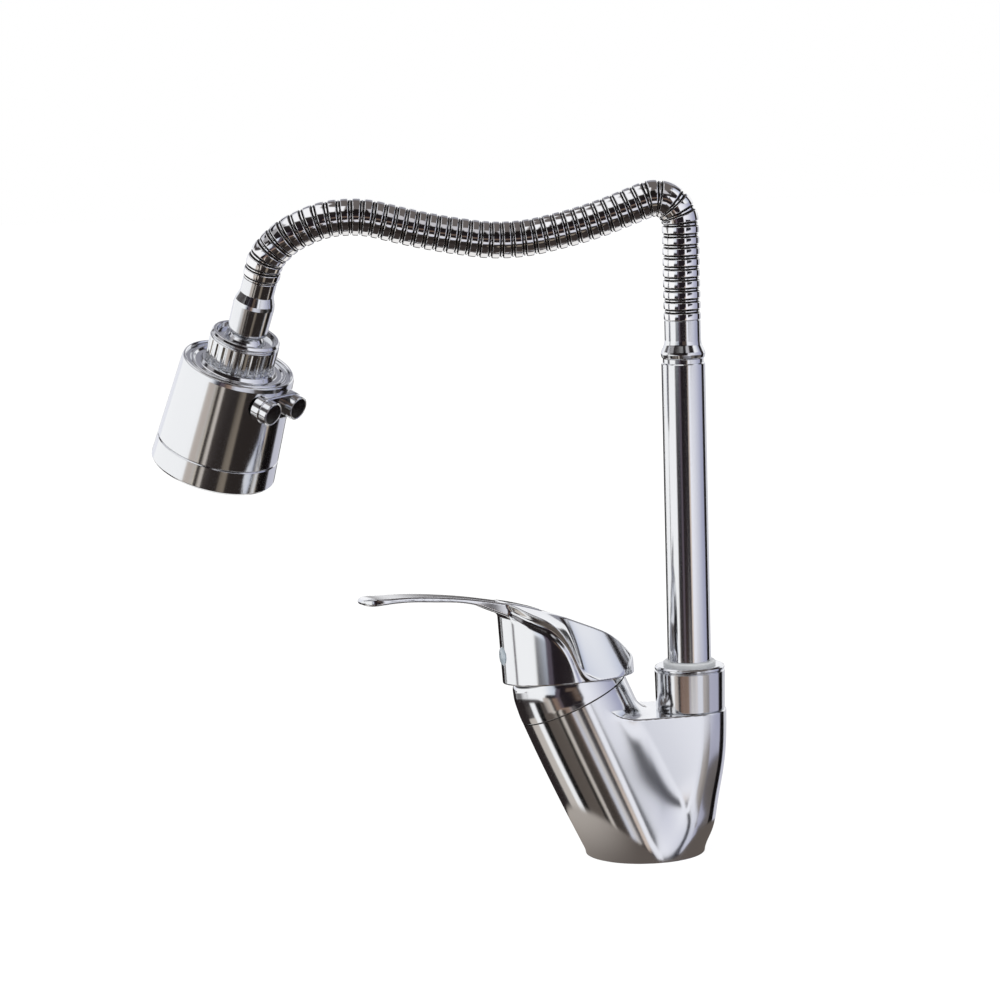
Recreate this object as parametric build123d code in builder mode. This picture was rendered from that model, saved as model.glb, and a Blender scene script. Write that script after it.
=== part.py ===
from build123d import *
import os
from math import asin, cos, degrees, radians, sin, sqrt, tan

# Single-lever kitchen mixer: a leaning cartridge arm and an upright spout arm in one casting, a chrome spout
# tube, a ribbed gooseneck of ball-jointed sections, and a swivelling two-button spray head.
# Millimetres. +Z is up, the lever and the head reach towards -Y, the origin is the foot's centre on the deck.

os.makedirs("parts", exist_ok=True)

# Fits
running_gap = 0.06
loose_gap = 0.3
seat_gap = 0.1
disc_film = 0.03

# Foot and casting
foot_radius = 26.7
arm_lean = 24.0
arm_radius = 26.0
arm_foot_shift = 1.2
arm_length = 78.0
spout_reach = 22.9
spout_arm_radius = 16.6
spout_arm_height = 66.4
gasket_outer = 25.0
gasket_inner = 21.6
gasket_thick = 2.0
inlet_radius = 4.5
inlet_depth = 14.0
inlet_side = 9.0
inlet_forward = 8.0
stud_radius = 3.4
stud_depth = 16.0
stud_back = 12.0
waterway_radius = 3.0

# Cartridge, measured along the arm from the bonnet's seam
cartridge_radius = 20.0
cartridge_seat = -20.0
cartridge_wall = 3.0
cartridge_shoulder = 2.0
cartridge_neck_radius = 13.5
cartridge_neck_top = 17.0
cartridge_turn_gap = 0.2
base_plate_thick = 3.5
base_spigot_height = 2.0
disc_thick = 3.5
moving_disc_radius = 12.2
fixed_disc_radius = 15.5
carrier_thick = 5.0
rotor_radius = 10.93
rotor_top = 16.5
port_offset = 8.0
port_radius = 2.8
seal_radius = 4.6
seal_thick = 1.4
peg_radius = 1.8
peg_length = 2.0
peg_offset = 14.0
pin_radius = 1.5
stem_side = 8.0
stem_arm = 16.4
stem_foot_radius = 3.0
stem_top = 26.0

# Nut and bonnet
seam_rise = 2.2
nut_thread_radius = 21.7
nut_thread_depth = 5.0
nut_plate_top = 6.0
nut_hex_top = 10.0
nut_hex_radius = 19.0
bonnet_height = 21.5
bonnet_mouth_radius = 15.0

# Lever
pivot_rise = 13.0
lever_swing = 12.0
lever_lift = 21.5
skirt_overhang = 2.0
skirt_radius = arm_radius + skirt_overhang
skirt_rear_shift = 5.0
blade_reach = 93.0
blade_half_width = 9.8
plug_radius = 4.3
plug_rise = 13.1
plug_depth = 1.6
screw_radius = 2.4
screw_length = 6.0
hex_key_radius = 1.4
hex_key_depth = 3.0

# Spout
spigot_radius = 13.0
spigot_top = 77.0
socket_radius = 10.6
socket_floor = 46.0
spout_nut_radius = 16.2
spout_nut_top = 87.2
bush_flange = 2.0
tube_radius = 10.0
tube_wall = 1.0
tube_top = 227.7
foot_flange_thick = 2.5
foot_bore = 7.0
ring_section = 0.95
ring_rises = (8.0, 15.0)
ferrule_top = 247.4
ferrule_radius = 8.25
ferrule_bead_radius = 10.2

# Gooseneck
crest_radius = 8.6
groove_radius = 7.65
hose_bore = 4.6
hose_end_radius = 7.0
water_hose_radius = 4.1
water_hose_bore = 3.0
rib_pitch = 4.95
crest_width = 2.6
rib_rise = 0.3
tight_bend_radius = 12.9
spigot_depth = 9.4
ball_radius = 7.6
ball_gap = 0.12
ball_neck_radius = 5.7
socket_rim = 2.5
socket_length = 5.6
ball_clear = 5.2
joint_stations = [34.0, 87.0, 137.0, 190.0, 236.5]
hose_route = [
    (0, spout_reach, 236),
    (0, spout_reach, 298.7),
    (0, 12, 304.2),
    (0, -19, 292.6),
    (0, -56, 284.9),
    (0, -92, 291.2),
    (0, -122, 299.4),
    (-0.8, -139.6, 298.6),
    (-3.2, -156.2, 291.2),
]
hose_tip = (-9.1, -168.4, 271.7)
hose_last_run = 11.0
end_spigot_radius = 6.3
end_spigot_depth = 5.0

# Connector and head, measured along the water's way from the connector's shoulder
head_side_lean = 15.96
head_back_lean = 15.69
connector_neck_length = 10.5
connector_neck_radius = 7.8
sleeve_radius = 9.5
sleeve_length = 16.3
ball_neck_bore_wall = 1.6
head_ball_station = 24.0
head_ball_radius = 10.0
fluted_nut_radius = 16.1
fluted_nut_start = 17.5
fluted_nut_end = 32.3
flute_count = 24
flute_radius = 1.1
nut_recess = 2.6
boss_thread_radius = 13.4
boss_bore = 12.1
boss_start = 26.0
boss_floor = 31.0
rim_station = 32.5
rim_radius = 26.2
dish_station = 34.3
cap_under_station = 35.7
shell_wall = 1.8
seam_station = 74.2
head_end_station = 85.9
head_end_radius = 29.2
button_bearing = 49.0
button_station = 42.0
button_radius = 5.7
button_side = 8.9
button_face = 32.4
button_back = 14.7
button_pocket = 26.0
button_collar_radius = 6.2
button_well = 12.0
button_travel = 2.5
button_bore = 3.2
escutcheon_face = 28.4
valve_radius = 19.5
valve_end = 60.0
diverter_start = 52.0
diverter_seal_start = 54.0
diverter_seal_width = 2.0
diverter_end = 64.0
diverter_radius = 5.9
diverter_core = 4.6
spring_radius = 2.4
spring_wire = 0.45
spring_turns = 4
aerator_radius = 11.0
aerator_start = 66.0
nozzle_count = 24
nozzle_radius = 0.9
nozzle_rise = 1.2
screen_pitch = 3.2
screen_opening = 2.2
screen_thick = 0.8


def placed(frame, offset=(0, 0, 0), turn=(0, 0, 0)):
    """The frame moved and turned in its own directions."""
    return Plane(frame.location * Location(offset, turn))


def section_of(frame):
    """The plane through a frame's axis: across is its x, up is its axis."""
    return Plane(origin=frame.origin, x_dir=frame.x_dir, z_dir=-frame.y_dir)


def turned(frame, outline, mode=Mode.ADD):
    """Revolve a closed outline of (radius, height) points about the frame's axis."""
    with BuildSketch(section_of(frame)) as outline_sketch:
        with BuildLine():
            Polyline(*outline, close=True)
        make_face()
    return revolve(outline_sketch.sketch, axis=Axis(frame.origin, frame.z_dir), mode=mode)


def ring(frame, outer, inner, low, high, mode=Mode.ADD):
    """A plain ring, or a disc when the inner radius is 0, between two heights."""
    return turned(frame, [(inner, low), (outer, low), (outer, high), (inner, high)], mode)


def rod(start, end, radius, mode=Mode.ADD):
    """A straight round rod between two points."""
    way = Vector(end) - Vector(start)
    with BuildSketch(Plane(origin=start, z_dir=way)) as rod_sketch:
        Circle(radius)
    return extrude(rod_sketch.sketch, amount=way.length, mode=mode)


def finish(piece, name):
    """Label a finished piece and write it out."""
    piece.part.label = name
    export_step(piece.part, f"parts/{name}.step")


# Frames
deck = Plane.XY
spout = Plane(origin=(0, spout_reach, 0), x_dir=(1, 0, 0), z_dir=(0, 0, 1))
arm_axis = Vector(0, -sin(radians(arm_lean)), cos(radians(arm_lean)))
arm = Plane(origin=Vector(0, arm_foot_shift, 0) + arm_axis * arm_length, x_dir=(1, 0, 0), z_dir=arm_axis)
swung = placed(arm, turn=(0, 0, lever_swing))
lever = placed(swung, offset=(0, 0, pivot_rise), turn=(-lever_lift, 0, 0))

# Body casting
inlet_points = [(side * inlet_side, -inlet_forward, 0) for side in (-1, 1)]
port_points = [(-port_offset, -port_offset / 2), (port_offset, -port_offset / 2), (0, port_offset)]
cavity_radius = cartridge_radius + loose_gap
# The spout arm and its web, from the foot up: (height, web centre, web radius, arm centre, arm radius)
spout_arm_rings = [
    (0, -2.0, 22.0, 3.7, 22.4),
    (7, 2.0, 20.5, 9.4, 21.3),
    (21, 5.0, 19.5, 15.4, 19.0),
    (42, 0.0, 20.5, 20.9, 17.3),
    (spout_arm_height, -5.0, 21.6, spout_reach, spout_arm_radius),
]


def round_ended(height, near, near_radius, far, far_radius):
    """A level outline round two circles, joined by their tangents."""
    lean = asin((near_radius - far_radius) / (far - near))
    near_x, near_y = near_radius * cos(lean), near + near_radius * sin(lean)
    far_x, far_y = far_radius * cos(lean), far + far_radius * sin(lean)
    with BuildSketch(Plane.XY.offset(height)) as outline:
        with BuildLine():
            Line((near_x, near_y), (far_x, far_y))
            ThreePointArc((far_x, far_y), (0, far + far_radius), (-far_x, far_y))
            Line((-far_x, far_y), (-near_x, near_y))
            ThreePointArc((-near_x, near_y), (0, near - near_radius), (near_x, near_y))
        make_face()
    return outline.sketch


with BuildPart() as body_casting:
    with BuildSketch(deck) as foot_circle:
        Circle(foot_radius)
    with BuildSketch(arm.offset(seam_rise)) as seam_circle:
        Circle(arm_radius)
    loft([foot_circle.sketch, seam_circle.sketch])
    loft([round_ended(*arm_ring) for arm_ring in spout_arm_rings])
    ring(spout, spigot_radius, 0, spout_arm_height - 1, spigot_top)
    ring(arm, cavity_radius, 0, cartridge_seat, 40, Mode.SUBTRACT)
    ring(arm, nut_thread_radius + seat_gap, 0, -nut_thread_depth - 1, 40, Mode.SUBTRACT)
    ring(spout, socket_radius, 0, socket_floor, spigot_top + 1, Mode.SUBTRACT)
    with BuildSketch(deck) as gasket_groove:
        Circle(gasket_outer)
        Circle(gasket_inner, mode=Mode.SUBTRACT)
    extrude(gasket_groove.sketch, amount=gasket_thick, mode=Mode.SUBTRACT)
    for start, port in zip(inlet_points, port_points):
        seat_port = arm.from_local_coords(Vector(*port, cartridge_seat))
        rod(start, Vector(*start) + Vector(0, 0, inlet_depth), inlet_radius, Mode.SUBTRACT)
        rod(Vector(*start) + Vector(0, 0, inlet_depth - 1), seat_port, waterway_radius, Mode.SUBTRACT)
    outlet = arm.from_local_coords(Vector(*port_points[2], cartridge_seat + 1))
    rod(outlet, (0, spout_reach, socket_floor - 2), waterway_radius, Mode.SUBTRACT)
    rod((0, stud_back, 0), (0, stud_back, stud_depth), stud_radius, Mode.SUBTRACT)
    for side in (-1, 1):
        peg_hole = [arm.from_local_coords(Vector(side * peg_offset, 0, cartridge_seat - depth))
                    for depth in (0, peg_length + seat_gap)]
        rod(*peg_hole, peg_radius + seat_gap, Mode.SUBTRACT)
finish(body_casting, "body_casting")

with BuildPart() as base_gasket:
    ring(deck, gasket_outer, gasket_inner, 0, gasket_thick)
finish(base_gasket, "base_gasket")

# Cartridge
plate_top = cartridge_seat + base_plate_thick
fixed_disc_low = plate_top + base_spigot_height
fixed_disc_top = fixed_disc_low + disc_thick
moving_disc_low = fixed_disc_top + disc_film
carrier_low = moving_disc_low + disc_thick
carrier_top = carrier_low + carrier_thick
housing_bore = cartridge_radius - cartridge_wall
rotor_low = carrier_top + cartridge_turn_gap
housing_roof = cartridge_shoulder - 1.0
disc_shift = stem_arm * sin(radians(lever_lift)) / 2

with BuildPart() as cartridge_base:
    ring(arm, cartridge_radius, 0, cartridge_seat, plate_top)
    ring(arm, housing_bore - seat_gap, 0, plate_top, fixed_disc_low)
    for port in port_points:
        port_frame = placed(arm, offset=(*port, 0))
        ring(port_frame, port_radius, 0, cartridge_seat, fixed_disc_low, Mode.SUBTRACT)
        ring(port_frame, seal_radius, 0, cartridge_seat, cartridge_seat + seal_thick, Mode.SUBTRACT)
    for side in (-1, 1):
        peg_frame = placed(arm, offset=(side * peg_offset, 0, 0))
        ring(peg_frame, peg_radius, 0, cartridge_seat - peg_length, cartridge_seat)
finish(cartridge_base, "cartridge_base")

with BuildPart() as port_seals:
    for port in port_points:
        port_frame = placed(arm, offset=(*port, 0))
        ring(port_frame, seal_radius, port_radius, cartridge_seat, cartridge_seat + seal_thick)
finish(port_seals, "port_seals")

with BuildPart() as fixed_ceramic_disc:
    ring(arm, fixed_disc_radius, 0, fixed_disc_low, fixed_disc_top)
    for port in port_points:
        ring(placed(arm, offset=(*port, 0)), port_radius, 0, fixed_disc_low, fixed_disc_top, Mode.SUBTRACT)
finish(fixed_ceramic_disc, "fixed_ceramic_disc")

disc_frame = placed(swung, offset=(0, -disc_shift, 0))

with BuildPart() as moving_ceramic_disc:
    ring(disc_frame, moving_disc_radius, 0, moving_disc_low, carrier_low)
    ring(disc_frame, moving_disc_radius - 3, 0, moving_disc_low, moving_disc_low + 1.6, Mode.SUBTRACT)
finish(moving_ceramic_disc, "moving_ceramic_disc")

with BuildPart() as disc_carrier:
    ring(disc_frame, moving_disc_radius, 0, carrier_low, carrier_top)
    with BuildSketch(placed(swung, offset=(0, -2 * disc_shift, carrier_low + 0.4))) as foot_pocket:
        Rectangle(stem_side + 2 * loose_gap, 2 * stem_foot_radius + loose_gap)
    extrude(foot_pocket.sketch, amount=carrier_thick, mode=Mode.SUBTRACT)
finish(disc_carrier, "disc_carrier")

with BuildPart() as cartridge_housing:
    ring(arm, cartridge_radius, housing_bore, plate_top, cartridge_shoulder)
    ring(arm, cartridge_radius, rotor_radius + running_gap, housing_roof, cartridge_shoulder)
    ring(arm, cartridge_neck_radius, rotor_radius + running_gap, cartridge_shoulder, cartridge_neck_top)
finish(cartridge_housing, "cartridge_housing")

slot_half = stem_side / 2 + 0.4
with BuildPart() as cartridge_rotor:
    ring(swung, housing_bore - 2 * seat_gap, 0, rotor_low, housing_roof - cartridge_turn_gap)
    ring(swung, rotor_radius, 0, housing_roof - cartridge_turn_gap, rotor_top)
    with BuildSketch(Plane(origin=swung.origin, x_dir=swung.y_dir, z_dir=swung.x_dir)) as stem_slot:
        with BuildLine():
            Polyline(
                (-10.6, rotor_low - 1),
                (-slot_half - 0.2, pivot_rise),
                (-slot_half - 0.2, rotor_top + 1),
                (slot_half + 2.2, rotor_top + 1),
                (slot_half + 0.2, pivot_rise - 1),
                (slot_half + 0.2, rotor_low - 1),
                close=True,
            )
        make_face()
    extrude(stem_slot.sketch, amount=stem_side / 2 + loose_gap, both=True, mode=Mode.SUBTRACT)
    pin_ends = [swung.from_local_coords(Vector(side * 12, 0, pivot_rise)) for side in (-1, 1)]
    rod(*pin_ends, pin_radius, Mode.SUBTRACT)
finish(cartridge_rotor, "cartridge_rotor")

with BuildPart() as stem_pin:
    pin_half = sqrt(rotor_radius ** 2 - pin_radius ** 2) - 0.2
    rod(*[swung.from_local_coords(Vector(side * pin_half, 0, pivot_rise)) for side in (-1, 1)], pin_radius)
finish(stem_pin, "stem_pin")

with BuildPart() as cartridge_stem:
    with BuildSketch(placed(lever, offset=(0, 0, -12))) as stem_square:
        Rectangle(stem_side, stem_side)
    extrude(stem_square.sketch, amount=12 + stem_top)
    with BuildSketch(placed(lever, offset=(0, 0, -stem_arm))) as stem_toe:
        Rectangle(stem_side, 4.6)
    extrude(stem_toe.sketch, amount=stem_arm - 11)
    foot_ends = [lever.from_local_coords(Vector(side * stem_side / 2, 0, -stem_arm)) for side in (-1, 1)]
    rod(*foot_ends, stem_foot_radius)
    pivot_ends = [lever.from_local_coords(Vector(side * stem_side, 0, 0)) for side in (-1, 1)]
    rod(*pivot_ends, pin_radius + running_gap, Mode.SUBTRACT)
finish(cartridge_stem, "cartridge_stem")

with BuildPart() as cartridge_nut:
    ring(arm, nut_thread_radius, cartridge_radius + seat_gap, -nut_thread_depth, cartridge_shoulder)
    ring(arm, nut_thread_radius, cartridge_neck_radius + seat_gap, cartridge_shoulder, nut_plate_top)
    with BuildSketch(arm.offset(nut_plate_top)) as nut_hex:
        RegularPolygon(nut_hex_radius, 6)
        Circle(cartridge_neck_radius + seat_gap, mode=Mode.SUBTRACT)
    extrude(nut_hex.sketch, amount=nut_hex_top - nut_plate_top)
finish(cartridge_nut, "cartridge_nut")

with BuildPart() as bonnet:
    with BuildSketch(section_of(arm)) as bonnet_outline:
        with BuildLine():
            Polyline(
                (nut_thread_radius + seat_gap, seam_rise),
                (arm_radius - 0.4, seam_rise),
                (arm_radius, seam_rise + 0.5),
                (arm_radius - 0.1, seam_rise + 1.6),
            )
            Spline(
                (arm_radius - 0.1, seam_rise + 1.6),
                (arm_radius - 1.0, 13.4),
                (arm_radius - 3.1, 19.6),
                (arm_radius - 6, bonnet_height),
                tangents=[(-0.02, 1), (-1, 0.05)],
            )
            Polyline(
                (arm_radius - 6, bonnet_height),
                (bonnet_mouth_radius, bonnet_height),
                (bonnet_mouth_radius, bonnet_height - 1.8),
                (arm_radius - 7.5, bonnet_height - 2),
                (arm_radius - 4.8, bonnet_height - 5),
                (arm_radius - 3.6, bonnet_height / 2),
                (arm_radius - 3.6, nut_plate_top + 1.5),
                (nut_thread_radius + seat_gap, nut_plate_top + 0.5),
                (nut_thread_radius + seat_gap, seam_rise),
            )
        make_face()
    revolve(axis=Axis(arm.origin, arm.z_dir))
finish(bonnet, "bonnet")

# Lever: stations run along the handle from the blade's root to the rear,
# each (distance, half width of the flat top, height of the top, height of the flank at its outer end)
flank_reach = skirt_radius + 4.0
roof_stations = [
    (-skirt_radius, 10.4, 38.6, 35.0),
    (-20, 10.9, 36.6, 30.3),
    (-13, 11.5, 34.2, 27.7),
    (-6.7, 12.0, 32.0, 21.5),
    (-2.6, 12.3, 30.3, 12.8),
    (0.5, 12.5, 29.0, 2.8),
    (5.7, 12.7, 26.6, -4.4),
    (15, 12.6, 22.3, -10.6),
    (25, 11.5, 15.5, -17.0),
    (skirt_rear_shift + skirt_radius + 1, 10.0, 4.0, -26.0),
]


def roof_section(distance, half, top, flank):
    """A cross-section of the handle's roof: a flat top between two sloping flanks."""
    across = Plane(origin=lever.from_local_coords(Vector(0, distance, 0)),
                   x_dir=lever.x_dir, z_dir=-lever.y_dir)
    with BuildSketch(across) as section:
        with BuildLine():
            Polyline(
                (-flank_reach, -40),
                (flank_reach, -40),
                (flank_reach, flank),
                (half, top),
                (-half, top),
                (-flank_reach, flank),
                close=True,
            )
        make_face()
    return section.sketch


tip = -blade_reach

with BuildPart() as lever_cap:
    with BuildSketch(lever) as skirt_plan:
        with BuildLine():
            Line((skirt_radius, 0), (skirt_radius, skirt_rear_shift))
            ThreePointArc((skirt_radius, skirt_rear_shift), (0, skirt_rear_shift + skirt_radius),
                          (-skirt_radius, skirt_rear_shift))
            Line((-skirt_radius, skirt_rear_shift), (-skirt_radius, 0))
            ThreePointArc((-skirt_radius, 0), (0, -skirt_radius), (skirt_radius, 0))
        make_face()
    extrude(skirt_plan.sketch, amount=45)
    loft([roof_section(*station) for station in roof_stations], mode=Mode.INTERSECT)

# The blade, from its tip to its root in the cap: (distance, half width, underside, top)
blade_stations = [
    (tip, blade_half_width - 5.6, 44.5, 45.9),
    (tip + 1.6, blade_half_width - 2.4, 43.8, 46.5),
    (tip + 7, blade_half_width + 1.4, 43.4, 46.6),
    (tip + 18, blade_half_width + 1.1, 43.6, 46.1),
    (tip + 35.3, blade_half_width + 0.2, 41.9, 44.4),
    (tip + 53.7, blade_half_width - 0.1, 38.2, 41.2),
    (tip + 62, blade_half_width + 0.5, 34.2, 39.3),
    (tip + 73, blade_half_width + 1.1, 29.5, 36.5),
    (tip + 81, blade_half_width + 1.6, 26.5, 34.0),
]

with BuildPart() as lever_blade:
    blade_sections = []
    for distance, half, under, top in blade_stations:
        across = Plane(origin=lever.from_local_coords(Vector(0, distance, (under + top) / 2)),
                       x_dir=lever.x_dir, z_dir=-lever.y_dir)
        with BuildSketch(across) as blade_section:
            RectangleRounded(2 * half, top - under, 0.6)
        blade_sections.append(blade_section.sketch)
    loft(blade_sections)

cavity_sections = [
    (0, 1.9, arm_radius + 0.6, arm_radius + 1.7),
    (9.6, 0.8, arm_radius - 2.8, arm_radius - 2.8),
    (16, 0.5, arm_radius - 7.0, arm_radius - 6.5),
]
boss_low = 10.0
boss_radius = 8.0
with BuildPart() as lever_handle:
    add(lever_cap.part)
    add(lever_blade.part)
    hollows = []
    for height, shift, across_radius, along_radius in cavity_sections:
        with BuildSketch(placed(lever, offset=(0, shift, height))) as hollow:
            Ellipse(across_radius, along_radius)
        hollows.append(hollow.sketch)
    loft(hollows, mode=Mode.SUBTRACT)
    with BuildSketch(placed(lever, offset=(0, 0, boss_low))) as boss:
        Circle(boss_radius)
        with Locations((0, -boss_radius)):
            Rectangle(boss_radius * 1.4, 10)
    extrude(boss.sketch, amount=10)
    with BuildSketch(placed(lever, offset=(0, 0, boss_low - 1))) as stem_hole:
        Rectangle(stem_side + seat_gap, stem_side + seat_gap)
    extrude(stem_hole.sketch, amount=stem_top - boss_low + 1, mode=Mode.SUBTRACT)
    outside = lever.from_local_coords(Vector(0, -skirt_radius - 2, plug_rise))
    screw_seat = lever.from_local_coords(Vector(0, -stem_side / 2, plug_rise))
    plug_seat = lever.from_local_coords(Vector(0, -skirt_radius + plug_depth, plug_rise))
    rod(outside, screw_seat, screw_radius + seat_gap, Mode.SUBTRACT)
    rod(outside, plug_seat, plug_radius + seat_gap, Mode.SUBTRACT)
finish(lever_handle, "lever_handle")

screw_frame = Plane(origin=lever.from_local_coords(Vector(0, -stem_side / 2, plug_rise)),
                    x_dir=lever.x_dir, z_dir=-lever.y_dir)
with BuildPart() as handle_screw:
    ring(screw_frame, screw_radius, 0, 0, screw_length)
    with BuildSketch(screw_frame.offset(screw_length)) as hex_socket:
        RegularPolygon(hex_key_radius, 6)
    extrude(hex_socket.sketch, amount=-hex_key_depth, mode=Mode.SUBTRACT)
finish(handle_screw, "handle_screw")

plug_low = skirt_radius - stem_side / 2 - plug_depth
with BuildPart() as indicator_plug:
    turned(screw_frame, [(0, plug_low), (plug_radius, plug_low), (plug_radius, plug_low + 1.9),
                         (plug_radius - 0.7, plug_low + 2.4), (0, plug_low + 2.6)])
finish(indicator_plug, "indicator_plug")

# Spout
lip_low = spout_nut_top - 3.3
foot_flange_top = spigot_top + foot_flange_thick
with BuildPart() as spout_nut:
    turned(spout, [
        (spigot_radius + seat_gap, spout_arm_height),
        (spout_nut_radius - 0.5, spout_arm_height),
        (spout_nut_radius, spout_arm_height + 0.6),
        (spout_nut_radius, spout_nut_top - 2.6),
        (spout_nut_radius - 0.5, spout_nut_top - 2.2),
        (spout_nut_radius - 0.1, spout_nut_top - 1.7),
        (spout_nut_radius - 0.1, spout_nut_top - 0.9),
        (spout_nut_radius - 1.1, spout_nut_top),
        (tube_radius + 1.2, spout_nut_top),
        (tube_radius + 1.2, lip_low),
        (spigot_radius + seat_gap, lip_low),
    ])
finish(spout_nut, "spout_nut")

with BuildPart() as spout_bush:
    bush_bore = tube_radius + running_gap
    turned(spout, [
        (bush_bore, foot_flange_top + seat_gap),
        (spigot_radius, foot_flange_top + seat_gap),
        (spigot_radius, lip_low),
        (tube_radius + 1.1, lip_low),
        (tube_radius + 1.1, spout_nut_top),
        (tube_radius + 2.1, spout_nut_top),
        (tube_radius + 2.1, spout_nut_top + bush_flange - 0.6),
        (tube_radius + 1.5, spout_nut_top + bush_flange),
        (bush_bore, spout_nut_top + bush_flange),
    ])
finish(spout_bush, "spout_bush")

foot_radius_in_socket = socket_radius - running_gap
o_ring_heights = [socket_floor + rise for rise in ring_rises]
groove_half = 1.2
groove_floor = foot_radius_in_socket - 2 * ring_section - 0.02
with BuildPart() as spout_foot:
    ring(spout, foot_radius_in_socket, foot_bore, socket_floor + 1.5, spigot_top)
    ring(spout, spigot_radius - loose_gap, foot_bore, spigot_top, foot_flange_top)
    ring(spout, tube_radius - tube_wall, foot_bore, foot_flange_top, foot_flange_top + 10)
    for height in o_ring_heights:
        low, high = height - groove_half, height + groove_half
        ring(spout, socket_radius + 1, groove_floor, low, high, Mode.SUBTRACT)
finish(spout_foot, "spout_foot")

with BuildPart() as spout_o_rings:
    for height in o_ring_heights:
        with BuildSketch(section_of(spout)) as o_ring:
            with Locations((groove_floor + ring_section, height)):
                Circle(ring_section)
        revolve(o_ring.sketch, axis=Axis(spout.origin, spout.z_dir))
finish(spout_o_rings, "spout_o_rings")

with BuildPart() as spout_tube:
    ring(spout, tube_radius, tube_radius - tube_wall, foot_flange_top, tube_top)
finish(spout_tube, "spout_tube")

spigot_start = ferrule_top - spigot_depth
with BuildPart() as lower_ferrule:
    turned(spout, [
        (hose_bore, tube_top - 10),
        (tube_radius - tube_wall, tube_top - 10),
        (tube_radius - tube_wall, tube_top),
        (tube_radius - 0.7, tube_top),
        (tube_radius - 0.7, tube_top + 2.1),
        (ferrule_bead_radius - 0.3, tube_top + 2.9),
        (ferrule_bead_radius, tube_top + 4.1),
        (ferrule_bead_radius - 0.4, tube_top + 5.3),
        (ferrule_radius + 0.1, tube_top + 8.7),
        (ferrule_radius, tube_top + 9.5),
        (ferrule_radius, ferrule_top),
        (hose_end_radius + seat_gap, ferrule_top),
        (hose_end_radius + seat_gap, spigot_start),
        (hose_bore, spigot_start),
    ])
finish(lower_ferrule, "lower_ferrule")

# Connector and head frames
side_lean, back_lean = radians(head_side_lean), radians(head_back_lean)
head_up = Vector(sin(side_lean), cos(side_lean) * sin(back_lean), cos(side_lean) * cos(back_lean))
facing = Vector(cos(radians(button_bearing)), sin(radians(button_bearing)), 0)
facing = (facing - head_up * facing.dot(head_up)).normalized()
connector = Plane(origin=Vector(*hose_tip) - head_up * connector_neck_length, x_dir=facing, z_dir=-head_up)
print("head ball", connector.from_local_coords(Vector(0, 0, head_ball_station)))
print("head up", head_up, "facing", facing)

# Gooseneck route: straight runs joined by tangent arcs
route_points = [Vector(*point) for point in hose_route]
route_points += [Vector(*hose_tip) + head_up * hose_last_run, Vector(*hose_tip)]
corner_radii = []
for before, corner, after in zip(route_points, route_points[1:], route_points[2:]):
    shorter = min((corner - before).length, (after - corner).length)
    half_turn = radians((corner - before).get_angle(after - corner)) / 2
    corner_radii.append(min(0.45 * shorter / tan(half_turn), 400))
corner_radii[0] = tight_bend_radius
corner_radii[1] = tight_bend_radius
with BuildLine() as gooseneck_line:
    FilletPolyline(*route_points, radius=corner_radii)
gooseneck = gooseneck_line.wires()[0]
route_start = spigot_start - hose_route[0][2]
gooseneck_length = gooseneck.length
print("corner radii", [round(r, 1) for r in corner_radii])
print("gooseneck length", round(gooseneck_length - route_start, 1))


def hose_frame(station):
    """The frame across the gooseneck at a distance along its route, on a steady X axis."""
    point = gooseneck.position_at(station, position_mode=PositionMode.LENGTH)
    way = gooseneck.tangent_at(station, position_mode=PositionMode.LENGTH)
    steady = Vector(1, 0, 0) - way * way.X
    return Plane(origin=point, x_dir=steady, z_dir=way)


def hose_circle(station, radius):
    """A circle across the gooseneck."""
    with BuildSketch(hose_frame(station)) as circle:
        Circle(radius)
    return circle.sketch


def ribs(start, end):
    """A ribbed length of armour: four circles for each rib, in a ruled loft."""
    count = round((end - start - rib_pitch + crest_width) / rib_pitch) + 1
    pitch = (end - start - crest_width - 2 * rib_rise) / max(count - 1, 1)
    circles = []
    for index in range(count):
        low = start + index * pitch
        circles += [
            hose_circle(low, groove_radius),
            hose_circle(low + rib_rise, crest_radius),
            hose_circle(low + rib_rise + crest_width, crest_radius),
            hose_circle(low + 2 * rib_rise + crest_width, groove_radius),
        ]
    return loft(circles, ruled=True)


def bore_through(start, end, radius, beyond):
    """The bore of a length of armour, run on straight past its end."""
    steps = max(2, round((end - start) / rib_pitch))
    circles = [hose_circle(start + (end - start) * step / steps, radius) for step in range(steps + 1)]
    with BuildSketch(hose_frame(end).offset(beyond)) as mouth:
        Circle(radius)
    return loft(circles + [mouth.sketch], ruled=True, mode=Mode.SUBTRACT)


def ball_end(station):
    """The ball that ends a section, with its neck."""
    frame = hose_frame(station)
    with BuildSketch(section_of(frame)) as ball_outline:
        with BuildLine():
            ThreePointArc((0, -ball_radius), (ball_radius, 0), (0, ball_radius))
            Line((0, ball_radius), (0, -ball_radius))
        make_face()
    revolve(ball_outline.sketch, axis=Axis(frame.origin, frame.z_dir))
    ring(frame, ball_neck_radius, 0, -ball_clear - 2, 0)


def socket_end(station):
    """The socket that starts a section, round the ball before it."""
    frame = hose_frame(station)
    turned(frame, [
        (0, -socket_rim),
        (crest_radius, -socket_rim),
        (crest_radius, socket_length - 1.4),
        (groove_radius - 0.15, socket_length - 1.1),
        (groove_radius - 0.15, socket_length + 0.4),
        (0, socket_length + 0.4),
    ])


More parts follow.
